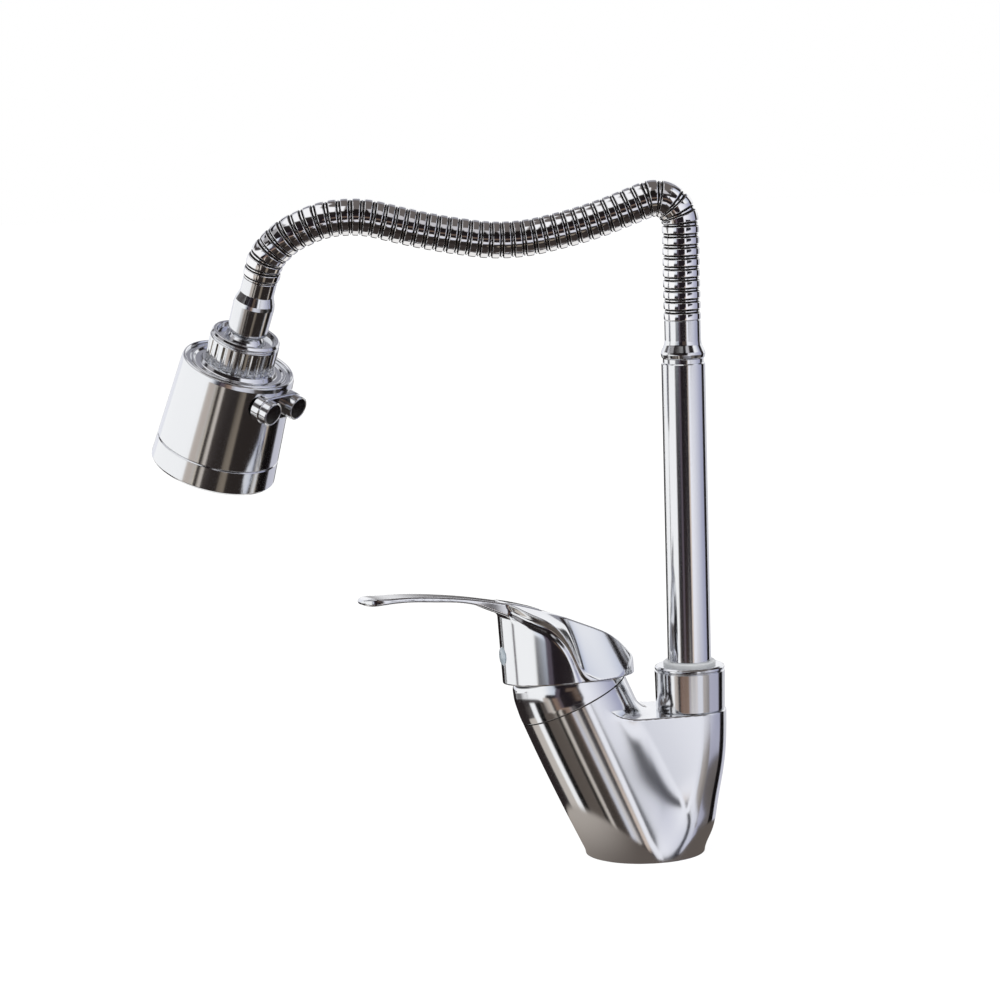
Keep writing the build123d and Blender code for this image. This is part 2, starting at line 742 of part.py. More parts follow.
def socket_hollow(station):
    """The round hollow of a socket."""
    frame = hose_frame(station)
    reach = ball_radius + ball_gap
    mouth = sqrt(reach ** 2 - socket_rim ** 2)
    with BuildSketch(section_of(frame)) as hollow:
        with BuildLine():
            Line((0, reach), (0, -socket_rim - 1))
            Line((0, -socket_rim - 1), (mouth, -socket_rim - 1))
            Line((mouth, -socket_rim - 1), (mouth, -socket_rim))
            angle = asin(socket_rim / reach)
            middle = (radians(90) - angle) / 2
            ThreePointArc((mouth, -socket_rim), (reach * cos(middle), reach * sin(middle)), (0, reach))
        make_face()
    revolve(hollow.sketch, axis=Axis(frame.origin, frame.z_dir), mode=Mode.SUBTRACT)


hose_end = gooseneck_length
section_starts = [route_start] + joint_stations
section_ends = joint_stations + [hose_end]
for number, (low, high) in enumerate(zip(section_starts, section_ends), start=1):
    first, last = number == 1, number == len(section_starts)
    rib_low = route_start + spigot_depth + 0.3 if first else low + socket_length
    rib_high = high - 0.3 if last else high - ball_clear
    with BuildPart() as hose_section:
        ribs(rib_low, rib_high)
        if first:
            with BuildSketch(hose_frame(low)) as spigot:
                Circle(hose_end_radius)
            extrude(spigot.sketch, amount=spigot_depth + 1)
        else:
            socket_end(low)
        if last:
            ring(hose_frame(high), end_spigot_radius, 0, -1, end_spigot_depth)
        else:
            ball_end(high)
        bore_through(low, high, hose_bore, ball_radius + 1)
        if not first:
            socket_hollow(low)
    finish(hose_section, f"hose_section_{number}")
for station in joint_stations:
    joint_frame = hose_frame(station)
    print("hose joint", [round(v, 3) for v in tuple(joint_frame.origin)],
          "across", [round(v, 4) for v in tuple(joint_frame.x_dir)],
          "up", [round(v, 4) for v in tuple(joint_frame.y_dir)])

with BuildPart() as hose_connector:
    turned(connector, [
        (0, -connector_neck_length),
        (connector_neck_radius, -connector_neck_length),
        (connector_neck_radius, -3.4),
        (connector_neck_radius + 0.7, -1.4),
        (sleeve_radius - 0.3, 0.6),
        (sleeve_radius, 2.4),
        (sleeve_radius - 0.3, sleeve_length - 0.8),
        (sleeve_radius - 1.0, sleeve_length),
        (hose_bore + ball_neck_bore_wall, sleeve_length),
        (hose_bore + ball_neck_bore_wall, head_ball_station),
        (0, head_ball_station),
    ])
    with BuildSketch(section_of(placed(connector, offset=(0, 0, head_ball_station)))) as ball_outline:
        with BuildLine():
            ThreePointArc((0, -head_ball_radius), (head_ball_radius, 0), (0, head_ball_radius))
            Line((0, head_ball_radius), (0, -head_ball_radius))
        make_face()
    revolve(ball_outline.sketch, axis=Axis(connector.origin, connector.z_dir))
    spigot_end = end_spigot_depth + seat_gap - connector_neck_length
    ring(connector, hose_bore, 0, -connector_neck_length, head_ball_station + head_ball_radius, Mode.SUBTRACT)
    ring(connector, end_spigot_radius + seat_gap, 0, -connector_neck_length - 1, spigot_end, Mode.SUBTRACT)
finish(hose_connector, "hose_connector")

with BuildPart() as water_hose:
    hose_low = route_start + 1.0
    steps = round((hose_end - hose_low) / rib_pitch)
    tube_stations = [hose_low + (hose_end - hose_low) * step / steps for step in range(steps + 1)]
    loft([hose_circle(station, water_hose_radius) for station in tube_stations], ruled=True)
    loft([hose_circle(station, water_hose_bore) for station in tube_stations], ruled=True, mode=Mode.SUBTRACT)
finish(water_hose, "water_hose")

# Swivel joint of the head
head_ball = placed(connector, offset=(0, 0, head_ball_station))
seat_radius = head_ball_radius + running_gap
seat_low = boss_start - head_ball_station
seat_high = boss_floor - head_ball_station
with BuildPart() as ball_seat:
    ring(head_ball, boss_bore - running_gap, 5.0, 1.0, seat_high)
    with BuildSketch(section_of(head_ball)) as seat_hollow:
        with BuildLine():
            ThreePointArc((0, -seat_radius), (seat_radius, 0), (0, seat_radius))
            Line((0, seat_radius), (0, -seat_radius))
        make_face()
    revolve(seat_hollow.sketch, axis=Axis(head_ball.origin, head_ball.z_dir), mode=Mode.SUBTRACT)
finish(ball_seat, "ball_seat")

with BuildPart() as swivel_nut:
    nut_low = fluted_nut_start - head_ball_station
    nut_high = fluted_nut_end - head_ball_station
    throat = nut_low + nut_recess + 0.4
    throat_radius = sqrt(seat_radius ** 2 - throat ** 2)
    with BuildSketch(section_of(head_ball)) as nut_outline:
        with BuildLine():
            Polyline(
                (seat_radius, 0),
                (seat_radius, 0.6),
                (boss_bore + 0.2, 0.6),
                (boss_bore + 0.2, seat_low - 0.4),
                (boss_thread_radius + seat_gap, seat_low - 0.4),
                (boss_thread_radius + seat_gap, nut_high),
                (fluted_nut_radius - 0.8, nut_high),
                (fluted_nut_radius, nut_high - 0.8),
                (fluted_nut_radius, nut_low + 3.0),
                (fluted_nut_radius - 0.6, nut_low + 2.6),
                (fluted_nut_radius - 0.1, nut_low + 1.4),
                (fluted_nut_radius - 0.9, nut_low),
                (fluted_nut_radius - 2.2, nut_low),
                (fluted_nut_radius - 2.6, throat - 0.4),
                (throat_radius + 0.3, throat - 0.4),
                (throat_radius, throat),
            )
            middle = asin(-throat / seat_radius) / 2
            ThreePointArc((throat_radius, throat),
                          (seat_radius * cos(middle), -seat_radius * sin(middle)), (seat_radius, 0))
        make_face()
    revolve(nut_outline.sketch, axis=Axis(head_ball.origin, head_ball.z_dir))
    with BuildSketch(placed(head_ball, offset=(0, 0, nut_low + 3.4))) as flutes:
        with PolarLocations(fluted_nut_radius + 0.4, flute_count):
            Circle(flute_radius)
    extrude(flutes.sketch, amount=nut_high - nut_low, mode=Mode.SUBTRACT)
finish(swivel_nut, "swivel_nut")

# Spray head
cap_radius = rim_radius - shell_wall
with BuildPart() as head_cap:
    turned(connector, [
        (8.0, boss_floor),
        (boss_bore, boss_floor),
        (boss_bore, boss_start),
        (boss_thread_radius, boss_start),
        (boss_thread_radius, fluted_nut_end),
        (fluted_nut_radius + 0.6, fluted_nut_end),
        (fluted_nut_radius + 1.8, dish_station),
        (cap_radius - 4.4, dish_station),
        (cap_radius - 3.6, rim_station + 1.2),
        (cap_radius - 2.4, rim_station + 1.0),
        (cap_radius - 2.0, rim_station + 1.6),
        (cap_radius, rim_station + 1.6),
        (cap_radius, cap_under_station),
        (8.0, cap_under_station),
    ])
finish(head_cap, "head_cap")

with BuildPart() as filter_screen:
    ring(connector, 7.9, 0, cap_under_station - 1.0, cap_under_station)
finish(filter_screen, "filter_screen")


def shell_radius(station):
    """The head's outer radius at a station below its rim."""
    share = (station - rim_station) / (head_end_station - rim_station)
    return rim_radius + (head_end_radius - rim_radius) * share


button = Plane(origin=connector.from_local_coords(Vector(0, 0, button_station)), x_dir=connector.y_dir,
               z_dir=facing)
button_frames = [placed(button, offset=(side * button_side, 0, 0)) for side in (-1, 1)]
pad_height = 2 * button_radius + 1.3
pad_width = 2 * (button_side + button_radius) + 1.4

with BuildPart() as head_shell:
    turned(connector, [
        (cap_radius, rim_station + 0.5),
        (rim_radius - 1.0, rim_station),
        (rim_radius - 0.2, rim_station + 0.4),
        (shell_radius(rim_station + 1.5), rim_station + 1.5),
        (shell_radius(seam_station), seam_station),
        (shell_radius(seam_station) - shell_wall, seam_station),
        (cap_radius, cap_under_station + 2),
    ])
    with BuildSketch(button) as pad_window:
        SlotOverall(pad_width, pad_height)
    extrude(pad_window.sketch, amount=40, mode=Mode.SUBTRACT)
finish(head_shell, "head_shell")

with BuildPart() as button_boss:
    with BuildSketch(button.offset(valve_radius - 3)) as pad:
        SlotOverall(pad_width - 2 * seat_gap, pad_height - 2 * seat_gap)
        with Locations((-button_side, 0), (button_side, 0)):
            Circle(button_radius + running_gap, mode=Mode.SUBTRACT)
    extrude(pad.sketch, amount=escutcheon_face - valve_radius + 3)
finish(button_boss, "button_boss")

with BuildPart() as valve_body:
    ring(connector, valve_radius, 0, cap_under_station + 0.1, valve_end)
    with BuildSketch(button.offset(valve_radius - 3)) as boss_seat:
        SlotOverall(pad_width, pad_height)
    extrude(boss_seat.sketch, amount=20, mode=Mode.SUBTRACT)
    for frame in button_frames:
        ring(frame, button_collar_radius + loose_gap, 0, button_well, 40, Mode.SUBTRACT)
    ring(connector, 5.0, 0, cap_under_station, cap_under_station + 8, Mode.SUBTRACT)
    ring(connector, diverter_radius + seat_gap, 0, diverter_start, valve_end, Mode.SUBTRACT)
finish(valve_body, "valve_body")

button_names = ["stream", "spray"]
for frame, name in zip(button_frames, button_names):
    with BuildPart() as push_button:
        turned(frame, [
            (button_bore, button_back),
            (button_collar_radius, button_back),
            (button_collar_radius, valve_radius - 3.1),
            (button_radius, valve_radius - 3.1),
            (button_radius, button_face - 1.2),
            (button_radius - 0.4, button_face - 0.4),
            (button_radius - 1.3, button_face),
            (0, button_face),
            (0, button_pocket),
            (button_bore, button_pocket),
        ])
    finish(push_button, f"{name}_button")
    spring_low, spring_high = button_well + spring_wire, button_pocket - spring_wire
    spring_pitch = (spring_high - spring_low) / spring_turns
    with BuildPart() as button_spring:
        with BuildLine() as coil:
            Helix(spring_pitch, spring_high - spring_low, spring_radius,
                  center=frame.from_local_coords(Vector(0, 0, spring_low)), direction=facing)
        with BuildSketch(Plane(origin=coil.line @ 0, z_dir=coil.line % 0)) as wire:
            Circle(spring_wire)
        sweep(wire.sketch, path=coil.line)
    finish(button_spring, f"{name}_spring")
    turn_steps = 24
    coil_points = [coil.line @ (step / (turn_steps * spring_turns))
                   for step in range(turn_steps * spring_turns + 1)]
    coil_gaps = [(upper - lower).length - 2 * spring_wire
                 for index, lower in enumerate(coil_points)
                 for upper in coil_points[index + turn_steps // 2:]]
    print(name, "spring's least gap to itself", round(min(coil_gaps), 2))
print("button axis", facing)

diverter_seal_end = diverter_seal_start + diverter_seal_width
with BuildPart() as diverter_valve:
    turned(connector, [
        (0, diverter_start),
        (diverter_radius, diverter_start),
        (diverter_radius, diverter_seal_start),
        (diverter_core, diverter_seal_start),
        (diverter_core, diverter_seal_end),
        (diverter_radius, diverter_seal_end),
        (diverter_radius, diverter_end),
        (0, diverter_end),
    ])
finish(diverter_valve, "diverter_valve")

with BuildPart() as diverter_seal:
    ring(connector, diverter_radius, diverter_core, diverter_seal_start, diverter_seal_end)
finish(diverter_seal, "diverter_seal")

plate_station = head_end_station - 5.0
with BuildPart() as head_ring:
    seam_outer, end_outer = shell_radius(seam_station + 0.5), head_end_radius
    ring_spigot = seam_outer - shell_wall - 0.3
    turned(connector, [
        (ring_spigot, seam_station),
        (seam_outer - 0.4, seam_station),
        (seam_outer, seam_station + 0.5),
        (end_outer, head_end_station - 1.0),
        (end_outer - 0.9, head_end_station),
        (end_outer - 2.2, head_end_station),
        (end_outer - 2.2, plate_station),
        (end_outer - 3.4, plate_station),
        (end_outer - 3.4, seam_station + 4.0),
        (ring_spigot - 1.0, seam_station + 2.0),
        (ring_spigot - 1.0, seam_station - 3.0),
        (ring_spigot, seam_station - 3.0),
    ])
finish(head_ring, "head_ring")

face_radius = head_end_radius - 2.3
with BuildPart() as spray_plate:
    ring(connector, face_radius, aerator_radius + 1.0, plate_station, plate_station + 2.6)
    collar_radius = aerator_radius + 2.4
    ring(connector, collar_radius, aerator_radius + seat_gap, diverter_end, plate_station + 3.6)
    ring(connector, valve_radius, collar_radius, valve_end, diverter_end)
    ring(connector, collar_radius, diverter_radius + seat_gap, valve_end, diverter_end)
finish(spray_plate, "spray_plate")

with BuildPart() as nozzle_ring:
    ring(connector, face_radius - 0.6, aerator_radius + 2.4, plate_station + 2.6, plate_station + 3.4)
    with BuildSketch(connector.offset(plate_station + 3.4)) as nozzles:
        with PolarLocations(face_radius - 3.0, nozzle_count):
            RegularPolygon(nozzle_radius, 6)
        with PolarLocations(face_radius - 7.0, nozzle_count * 2 // 3):
            RegularPolygon(nozzle_radius, 6)
    extrude(nozzles.sketch, amount=nozzle_rise)
finish(nozzle_ring, "nozzle_ring")

with BuildPart() as aerator:
    turned(connector, [
        (diverter_radius, aerator_start),
        (aerator_radius, aerator_start),
        (aerator_radius, head_end_station - 1.2),
        (aerator_radius - 0.6, head_end_station - 0.6),
        (aerator_radius - 1.6, head_end_station - 0.6),
        (aerator_radius - 1.6, head_end_station - 3.0),
        (diverter_radius, head_end_station - 6.0),
    ])
finish(aerator, "aerator")

with BuildPart() as aerator_screen:
    with BuildSketch(connector.offset(head_end_station - 3.0)) as mesh:
        Circle(aerator_radius - 1.7)
        with GridLocations(screen_pitch, screen_pitch, 5, 5):
            Rectangle(screen_opening, screen_opening, mode=Mode.SUBTRACT)
    extrude(mesh.sketch, amount=screen_thick)
finish(aerator_screen, "aerator_screen")
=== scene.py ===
import logging
import math
from dataclasses import dataclass
from enum import Enum
from typing import Callable, Optional, Sequence

import bmesh
import bpy
import numpy as np
from mathutils import Matrix, Vector
from mathutils.geometry import delaunay_2d_cdt


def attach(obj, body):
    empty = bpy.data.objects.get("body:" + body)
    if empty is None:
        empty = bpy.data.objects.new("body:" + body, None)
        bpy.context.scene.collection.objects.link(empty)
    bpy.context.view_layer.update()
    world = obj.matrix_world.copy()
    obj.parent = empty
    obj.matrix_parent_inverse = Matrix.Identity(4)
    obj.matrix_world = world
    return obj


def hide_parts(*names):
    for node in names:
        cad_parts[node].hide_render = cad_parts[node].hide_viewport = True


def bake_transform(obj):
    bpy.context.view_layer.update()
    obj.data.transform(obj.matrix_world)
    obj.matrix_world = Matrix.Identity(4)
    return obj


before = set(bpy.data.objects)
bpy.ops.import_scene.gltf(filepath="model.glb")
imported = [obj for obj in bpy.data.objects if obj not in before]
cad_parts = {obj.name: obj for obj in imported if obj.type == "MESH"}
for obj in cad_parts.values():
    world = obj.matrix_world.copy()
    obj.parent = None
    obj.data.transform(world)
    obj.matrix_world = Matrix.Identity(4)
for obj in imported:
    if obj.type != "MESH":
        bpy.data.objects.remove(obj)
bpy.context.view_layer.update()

MM = 0.001
HOLE_SIDES = 64
WHITE = (1, 1, 1, 1)
Array = np.ndarray
Colour = tuple[float, float, float]
Corner = tuple[float, float, float]
Rows = list[tuple[float, float, float, float, bool]]
log = logging.getLogger("kitchen_mixer")


# Geometry helpers


def unit(vector: Sequence[float]) -> Array:
    """The vector at length one."""
    vector = np.asarray(vector, float)
    return vector / np.linalg.norm(vector)


def circle(count: int) -> Array:
    """Points evenly round a circle of radius one."""
    angle = np.linspace(0, 2 * np.pi, count, endpoint=False)
    return np.stack([np.cos(angle), np.sin(angle)], -1)


def link(name: str, data: bpy.types.ID) -> bpy.types.Object:
    """A new object of the data, in the scene."""
    made = bpy.data.objects.new(name, data)
    bpy.context.scene.collection.objects.link(made)
    return made


@dataclass(frozen=True)
class Axes:
    """A right-handed set of axes at a point, in millimetres.

    Args:
        origin: where the axes stand.
        across: the first axis.
        up: the third axis, along a turned piece.
    """

    origin: Array
    across: Array
    up: Array

    @property
    def side(self) -> Array:
        """The second axis."""
        return np.cross(self.up, self.across)

    def place(self, points: Array) -> Array:
        """Local points in the row frame."""
        points = np.asarray(points, float)
        return (self.origin + points[..., :1] * self.across + points[..., 1:2] * self.side
                + points[..., 2:3] * self.up)

    def turn(self, vectors: Array) -> Array:
        """Local directions in the row frame."""
        return self.place(vectors) - self.origin

    def local(self, points: Array) -> Array:
        """Points of the row frame in these axes."""
        moved = np.asarray(points, float) - self.origin
        return np.stack([moved @ self.across, moved @ self.side, moved @ self.up], axis=-1)

    def raised(self, height: float) -> "Axes":
        """The same axes further up."""
        return Axes(self.origin + self.up * height, self.across, self.up)

    def moved(self, x: float, y: float, z: float) -> "Axes":
        """The same axes moved in their own directions."""
        return Axes(self.place(np.array([x, y, z])), self.across, self.up)

    def spun(self, degrees: float) -> "Axes":
        """The axes turned about their own up."""
        a = math.radians(degrees)
        return Axes(self.origin, math.cos(a) * self.across + math.sin(a) * self.side, self.up)

    def pitched(self, degrees: float) -> "Axes":
        """The axes turned about their own across."""
        a = math.radians(degrees)
        return Axes(self.origin, self.across, math.cos(a) * self.up - math.sin(a) * self.side)


DECK = Axes(np.zeros(3), np.array([1.0, 0, 0]), np.array([0, 0, 1.0]))


class MeshMaker:
    """Turns arrays of points in millimetres into Blender objects with exact normals."""

    @staticmethod
    def mesh(name: str, points: Array, faces: Sequence[Sequence[int]],
             normals: Optional[Array] = None) -> bpy.types.Object:
        """Make one object.

        Args:
            name: the piece's name.
            points: corners in millimetres, in the row frame.
            faces: the corner numbers of each face.
            normals: a normal for each corner, or None for smooth ones.

        Returns:
            The new object, linked to the scene.
        """
        data = bpy.data.meshes.new(name)
        data.from_pydata((np.asarray(points, float) * MM).tolist(), [], [list(map(int, f)) for f in faces])
        data.polygons.foreach_set("use_smooth", [True] * len(data.polygons))
        if normals is not None:
            data.normals_split_custom_set_from_vertices(np.asarray(normals, float).tolist())
        data.update()
        return link(name, data)

    @staticmethod
    def hoop_faces(rows: int, cols: int, start: int = 0) -> list[tuple[int, int, int, int]]:
        """Quads over rows of points, each row joined round."""
        return [(start + r * cols + c, start + r * cols + (c + 1) % cols,
                 start + (r + 1) * cols + (c + 1) % cols, start + (r + 1) * cols + c)
                for r in range(rows - 1) for c in range(cols)]

    @staticmethod
    def plate(name: str, axes: Axes, outline: Array,
              holes: Sequence[tuple[float, float, float]]) -> bpy.types.Object:
        """Make a flat plate with round holes, facing along the axes' up.

        Args:
            name: the piece's name.
            axes: the plate's axes.
            outline: the plate's corners, in order.
            holes: the (x, y, radius) of each hole.

        Returns:
            The plate.
        """
        points = [Vector(p) for p in outline]
        edges = [(n, (n + 1) % len(points)) for n in range(len(points))]
        for x, y, radius in holes:
            start = len(points)
            points += [Vector((x + radius * c, y + radius * s)) for c, s in circle(HOLE_SIDES)]
            edges += [(start + n, start + (n + 1) % HOLE_SIDES) for n in range(HOLE_SIDES)]
        flat, _, faces, *_ = delaunay_2d_cdt(points, edges, [], 1, 1e-5)
        centres = np.array([np.mean([flat[i] for i in f], axis=0) for f in faces])
        keep = np.ones(len(faces), bool)
        for x, y, radius in holes:
            keep &= np.hypot(centres[:, 0] - x, centres[:, 1] - y) > radius * 0.97
        spots = axes.place(np.array([(p[0], p[1], 0.0) for p in flat]))
        return MeshMaker.mesh(name, spots, [f for f, k in zip(faces, keep) if k])

    @staticmethod
    def join(name: str, parts: Sequence[bpy.types.Object]) -> bpy.types.Object:
        """Join objects into one and name it.

        Args:
            name: the joined piece's name.
            parts: the objects, of which the first takes in the others.

        Returns:
            The joined piece.
        """
        with bpy.context.temp_override(active_object=parts[0], selected_editable_objects=list(parts)):
            bpy.ops.object.join()
        parts[0].name = name
        parts[0].data.name = name
        return parts[0]


class TurnedProfile:
    """A lathe outline of (radius, height, fillet) corners, rounded, with exact normals."""

    def __init__(self, corners: Sequence[Corner], steps: int = 6) -> None:
        """Round the corners.

        Args:
            corners: the outline, walked with the material on its left.
            steps: how many chords round off a corner.
        """
        self.runs: list[list[tuple[float, float, float, float]]] = [[]]
        pts = [np.array(c[:2], float) for c in corners]
        for index, point in enumerate(pts):
            ahead = unit(pts[index + 1] - point) if index + 1 < len(pts) else None
            behind = unit(point - pts[index - 1]) if index else None
            fillet = corners[index][2]
            if ahead is None or behind is None:
                self._add(point, ahead if behind is None else behind)
                continue
            turn = math.acos(float(np.clip(behind @ ahead, -1, 1)))
            if fillet <= 0 or turn < 1e-3:
                self._add(point, behind)
                self.runs.append([])
                self._add(point, ahead)
                continue
            reach = fillet * math.tan(turn / 2)
            reach = min(reach, 0.48 * np.linalg.norm(point - pts[index - 1]),
                        0.48 * np.linalg.norm(pts[index + 1] - point))
            start, end = point - behind * reach, point + ahead * reach
            for step in range(steps + 1):
                t = step / steps
                here = (1 - t) ** 2 * start + 2 * t * (1 - t) * point + t ** 2 * end
                self._add(here, unit((1 - t) * behind + t * ahead))

    def _add(self, point: Array, way: Array) -> None:
        """Add a point with the outline's direction there."""
        self.runs[-1].append((point[0], point[1], way[1], -way[0]))


class Lathe:
    """Turns profiles about an axis."""

    def __init__(self, segments: int = 160) -> None:
        """Keep the number of segments round the axis."""
        self.segments = segments

    def turn(self, name: str, axes: Axes, corners: Sequence[Corner],
             ripple: Optional[Callable[[Array, Array, Array], Array]] = None,
             window: Optional[Callable[[Array], Array]] = None) -> bpy.types.Object:
        """Turn an outline into a piece.

        Args:
            name: the piece's name.
            axes: the piece's axes; the outline's heights run along their up.
            corners: (radius, height, fillet) corners.
            ripple: gives new radii from (radius, height, angle), for flutes.
            window: tells which points are in a window left open in the piece.

        Returns:
            The piece.
        """
        angles = np.linspace(0, 2 * np.pi, self.segments, endpoint=False)
        points, normals, faces = [], [], []
        for run in TurnedProfile(corners).runs:
            if len(run) < 2:
                continue
            r, h, nr, nh = (np.array(v)[:, None] * np.ones(self.segments) for v in zip(*run))
            radius = r if ripple is None else ripple(r, h, angles)
            grid = np.stack([radius * np.cos(angles), radius * np.sin(angles), h], -1)
            bent = np.stack([nr * np.cos(angles), nr * np.sin(angles), nh], -1)
            if ripple is not None:
                step = 2 * angles[1] * np.maximum(radius, 1e-6)
                slope = (np.roll(radius, -1, 1) - np.roll(radius, 1, 1)) / step
                bent[..., 0] += nr * slope * np.sin(angles)
                bent[..., 1] -= nr * slope * np.cos(angles)
                bent /= np.linalg.norm(bent, axis=-1, keepdims=True)
            faces += MeshMaker.hoop_faces(len(run), self.segments, sum(len(p) for p in points))
            points.append(axes.place(grid).reshape(-1, 3))
            normals.append(axes.turn(bent).reshape(-1, 3))
        spots = np.concatenate(points)
        if window is not None:
            faces = [f for f, gone in zip(faces, window(spots)[np.array(faces)].all(1)) if not gone]
        return MeshMaker.mesh(name, spots, faces, np.concatenate(normals))


class ImplicitSkin:
    """A smooth skin over a form given by a signed distance, negative inside."""

    def __init__(self, distance: Callable[[Array], Array], low: Sequence[float], high: Sequence[float],
                 cell: float) -> None:
        """Keep the form and the box that it lies in.

        Args:
            distance: the signed distance of points, in millimetres.
            low: the box's lowest corner.
            high: the box's highest corner.
            cell: the size of a cell of the skin.
        """
        self.distance, self.cell = distance, cell
        self.low, self.high = np.array(low, float), np.array(high, float)

    def gradient(self, points: Array) -> Array:
        """The distance's slope.

        Args:
            points: where it is wanted.

        Returns:
            One slope for each point.
        """
        step = 0.02
        slope = [self.distance(points + step * e) - self.distance(points - step * e) for e in np.eye(3)]
        return np.stack(slope, -1) / (2 * step)

    def settle(self, points: Array, rounds: int = 7) -> Array:
        """Move points onto the form's surface.

        Args:
            points: the points near it.
            rounds: how often each takes a step.

        Returns:
            The points on the surface.
        """
        for _ in range(rounds):
            slope = self.gradient(points)
            size = np.maximum((slope ** 2).sum(-1), 0.05)
            step = self.distance(points) / size
            points = points - np.clip(step, -self.cell, self.cell)[:, None] * slope
        return points

    def build(self) -> tuple[Array, list[list[int]]]:
        """Make the skin's points and faces.

        Returns:
            The points, and the faces as quads of point numbers.
        """
        counts = np.ceil((self.high - self.low) / self.cell).astype(int) + 1
        cut = tuple(counts - 1)
        axes = [self.low[k] + self.cell * np.arange(counts[k]) for k in range(3)]
        mesh = np.stack(np.meshgrid(*axes, indexing="ij"), -1)
        values = self.distance(mesh.reshape(-1, 3)).reshape(counts)
        total, hits = np.zeros(cut + (3,)), np.zeros(cut)

        def corner(which: tuple[int, ...]) -> Array:
            """The values at one corner of every cell."""
            return values[tuple(slice(w, w + c) for w, c in zip(which, cut))]

        for a in np.ndindex(2, 2, 2):
            for k in range(3):
                if a[k]:
                    continue
                va, vb = corner(a), corner(tuple(v + (n == k) for n, v in enumerate(a)))
                crossed = (va < 0) != (vb < 0)
                share = np.where(crossed, va / np.where(crossed, va - vb, 1), 0)
                for n in range(3):
                    total[..., n] += np.where(crossed, a[n] + (share if n == k else 0), 0)
                hits += crossed
        active = hits > 0
        number = -np.ones(cut, int)
        number[active] = np.arange(active.sum())
        points = self.low + self.cell * (np.argwhere(active) + total[active] / hits[active][:, None])
        faces: list[list[int]] = []
        inside = values < 0
        for k in range(3):
            near = [slice(1, -1)] * 3
            far = list(near)
            near[k], far[k] = slice(0, -1), slice(1, None)
            first, second = inside[tuple(near)], inside[tuple(far)]
            spots = np.argwhere(first != second)
            outward = first[first != second]
            quad = []
            for du, dv in ((0, 0), (1, 0), (1, 1), (0, 1)):
                cell = spots.copy()
                cell[:, (k + 1) % 3] += du
                cell[:, (k + 2) % 3] += dv
                quad.append(number[tuple(cell.T)])
            quad = np.stack(quad, -1)
            quad[~outward] = quad[~outward][:, ::-1]
            faces += quad[(quad >= 0).all(-1)].tolist()
        return self.settle(points), faces

    def piece(self, name: str, axes: Axes = DECK) -> bpy.types.Object:
        """Make the skin as an object.

        Args:
            name: the piece's name.
            axes: the axes that the form is given in.

        Returns:
            The piece, with normals from the form itself.
        """
        points, faces = self.build()
        slope = self.gradient(points)
        normals = slope / np.maximum(np.linalg.norm(slope, axis=-1, keepdims=True), 1e-9)
        return MeshMaker.mesh(name, axes.place(points), faces, axes.turn(normals))


def soft_max(a: Array, b: Array, reach: float) -> Array:
    """The larger of two distances, rounded where they meet.

    Args:
        a: the one distance.
        b: the other.
        reach: how far off the meeting the rounding begins.

    Returns:
        The joined distance.
    """
    overlap = np.maximum(reach - np.abs(a - b), 0)
    return np.maximum(a, b) + overlap ** 2 / (4 * reach)


def soft_min(a: Array, b: Array, reach: float) -> Array:
    """The smaller of two distances, rounded where they meet."""
    return -soft_max(-a, -b, reach)


class SmoothCurve:
    """A natural cubic through (position, values) stations."""

    def __init__(self, stations: Sequence[Sequence[float]]) -> None:
        """Fit the curve.

        Args:
            stations: the position and then the values of each station, in order.
        """
        table = np.array(stations, float)
        self.t, self.v = table[:, 0], table[:, 1:]
        n, h = len(self.t), np.diff(self.t)
        system, right = np.eye(n), np.zeros_like(self.v)
        for k in range(1, n - 1):
            system[k, k - 1:k + 2] = h[k - 1], 2 * (h[k - 1] + h[k]), h[k]
            right[k] = 6 * ((self.v[k + 1] - self.v[k]) / h[k] - (self.v[k] - self.v[k - 1]) / h[k - 1])
        self.bend = np.linalg.solve(system, right)

    def __call__(self, where: Array) -> Array:
        """The values at positions, held at the ends.

        Args:
            where: the positions.

        Returns:
            The values, along a new last axis.
        """
        x = np.clip(np.asarray(where, float), self.t[0], self.t[-1])
        k = np.clip(np.searchsorted(self.t, x) - 1, 0, len(self.t) - 2)
        h = (self.t[k + 1] - self.t[k])[..., None]
        a = ((self.t[k + 1] - x)[..., None]) / h
        b = 1 - a
        return (a * self.v[k] + b * self.v[k + 1]
                + ((a ** 3 - a) * self.bend[k] + (b ** 3 - b) * self.bend[k + 1]) * h ** 2 / 6)


def tapered_pill(x: Array, y: Array, near: Array, near_radius: Array, far: Array, far_radius: Array) -> Array:
    """The distance to a pill of two radii along y: two circles joined by their tangents.

    Args:
        x: the points' places across it.
        y: the points' places along it.
        near: where the first circle's centre is.
        near_radius: the first circle's radius.
        far: where the second circle's centre is.
        far_radius: the second circle's radius.

    Returns:
        The signed distances.
    """
    length = far - near
    slope = (near_radius - far_radius) / length
    lean = np.sqrt(1 - slope ** 2)
    px, py = np.abs(x), y - near
    k = -slope * px + lean * py
    return np.where(k < 0, np.hypot(px, py) - near_radius,
                    np.where(k > lean * length, np.hypot(px, py - length) - far_radius,
                             px * lean + py * slope - near_radius))


# Shader helpers


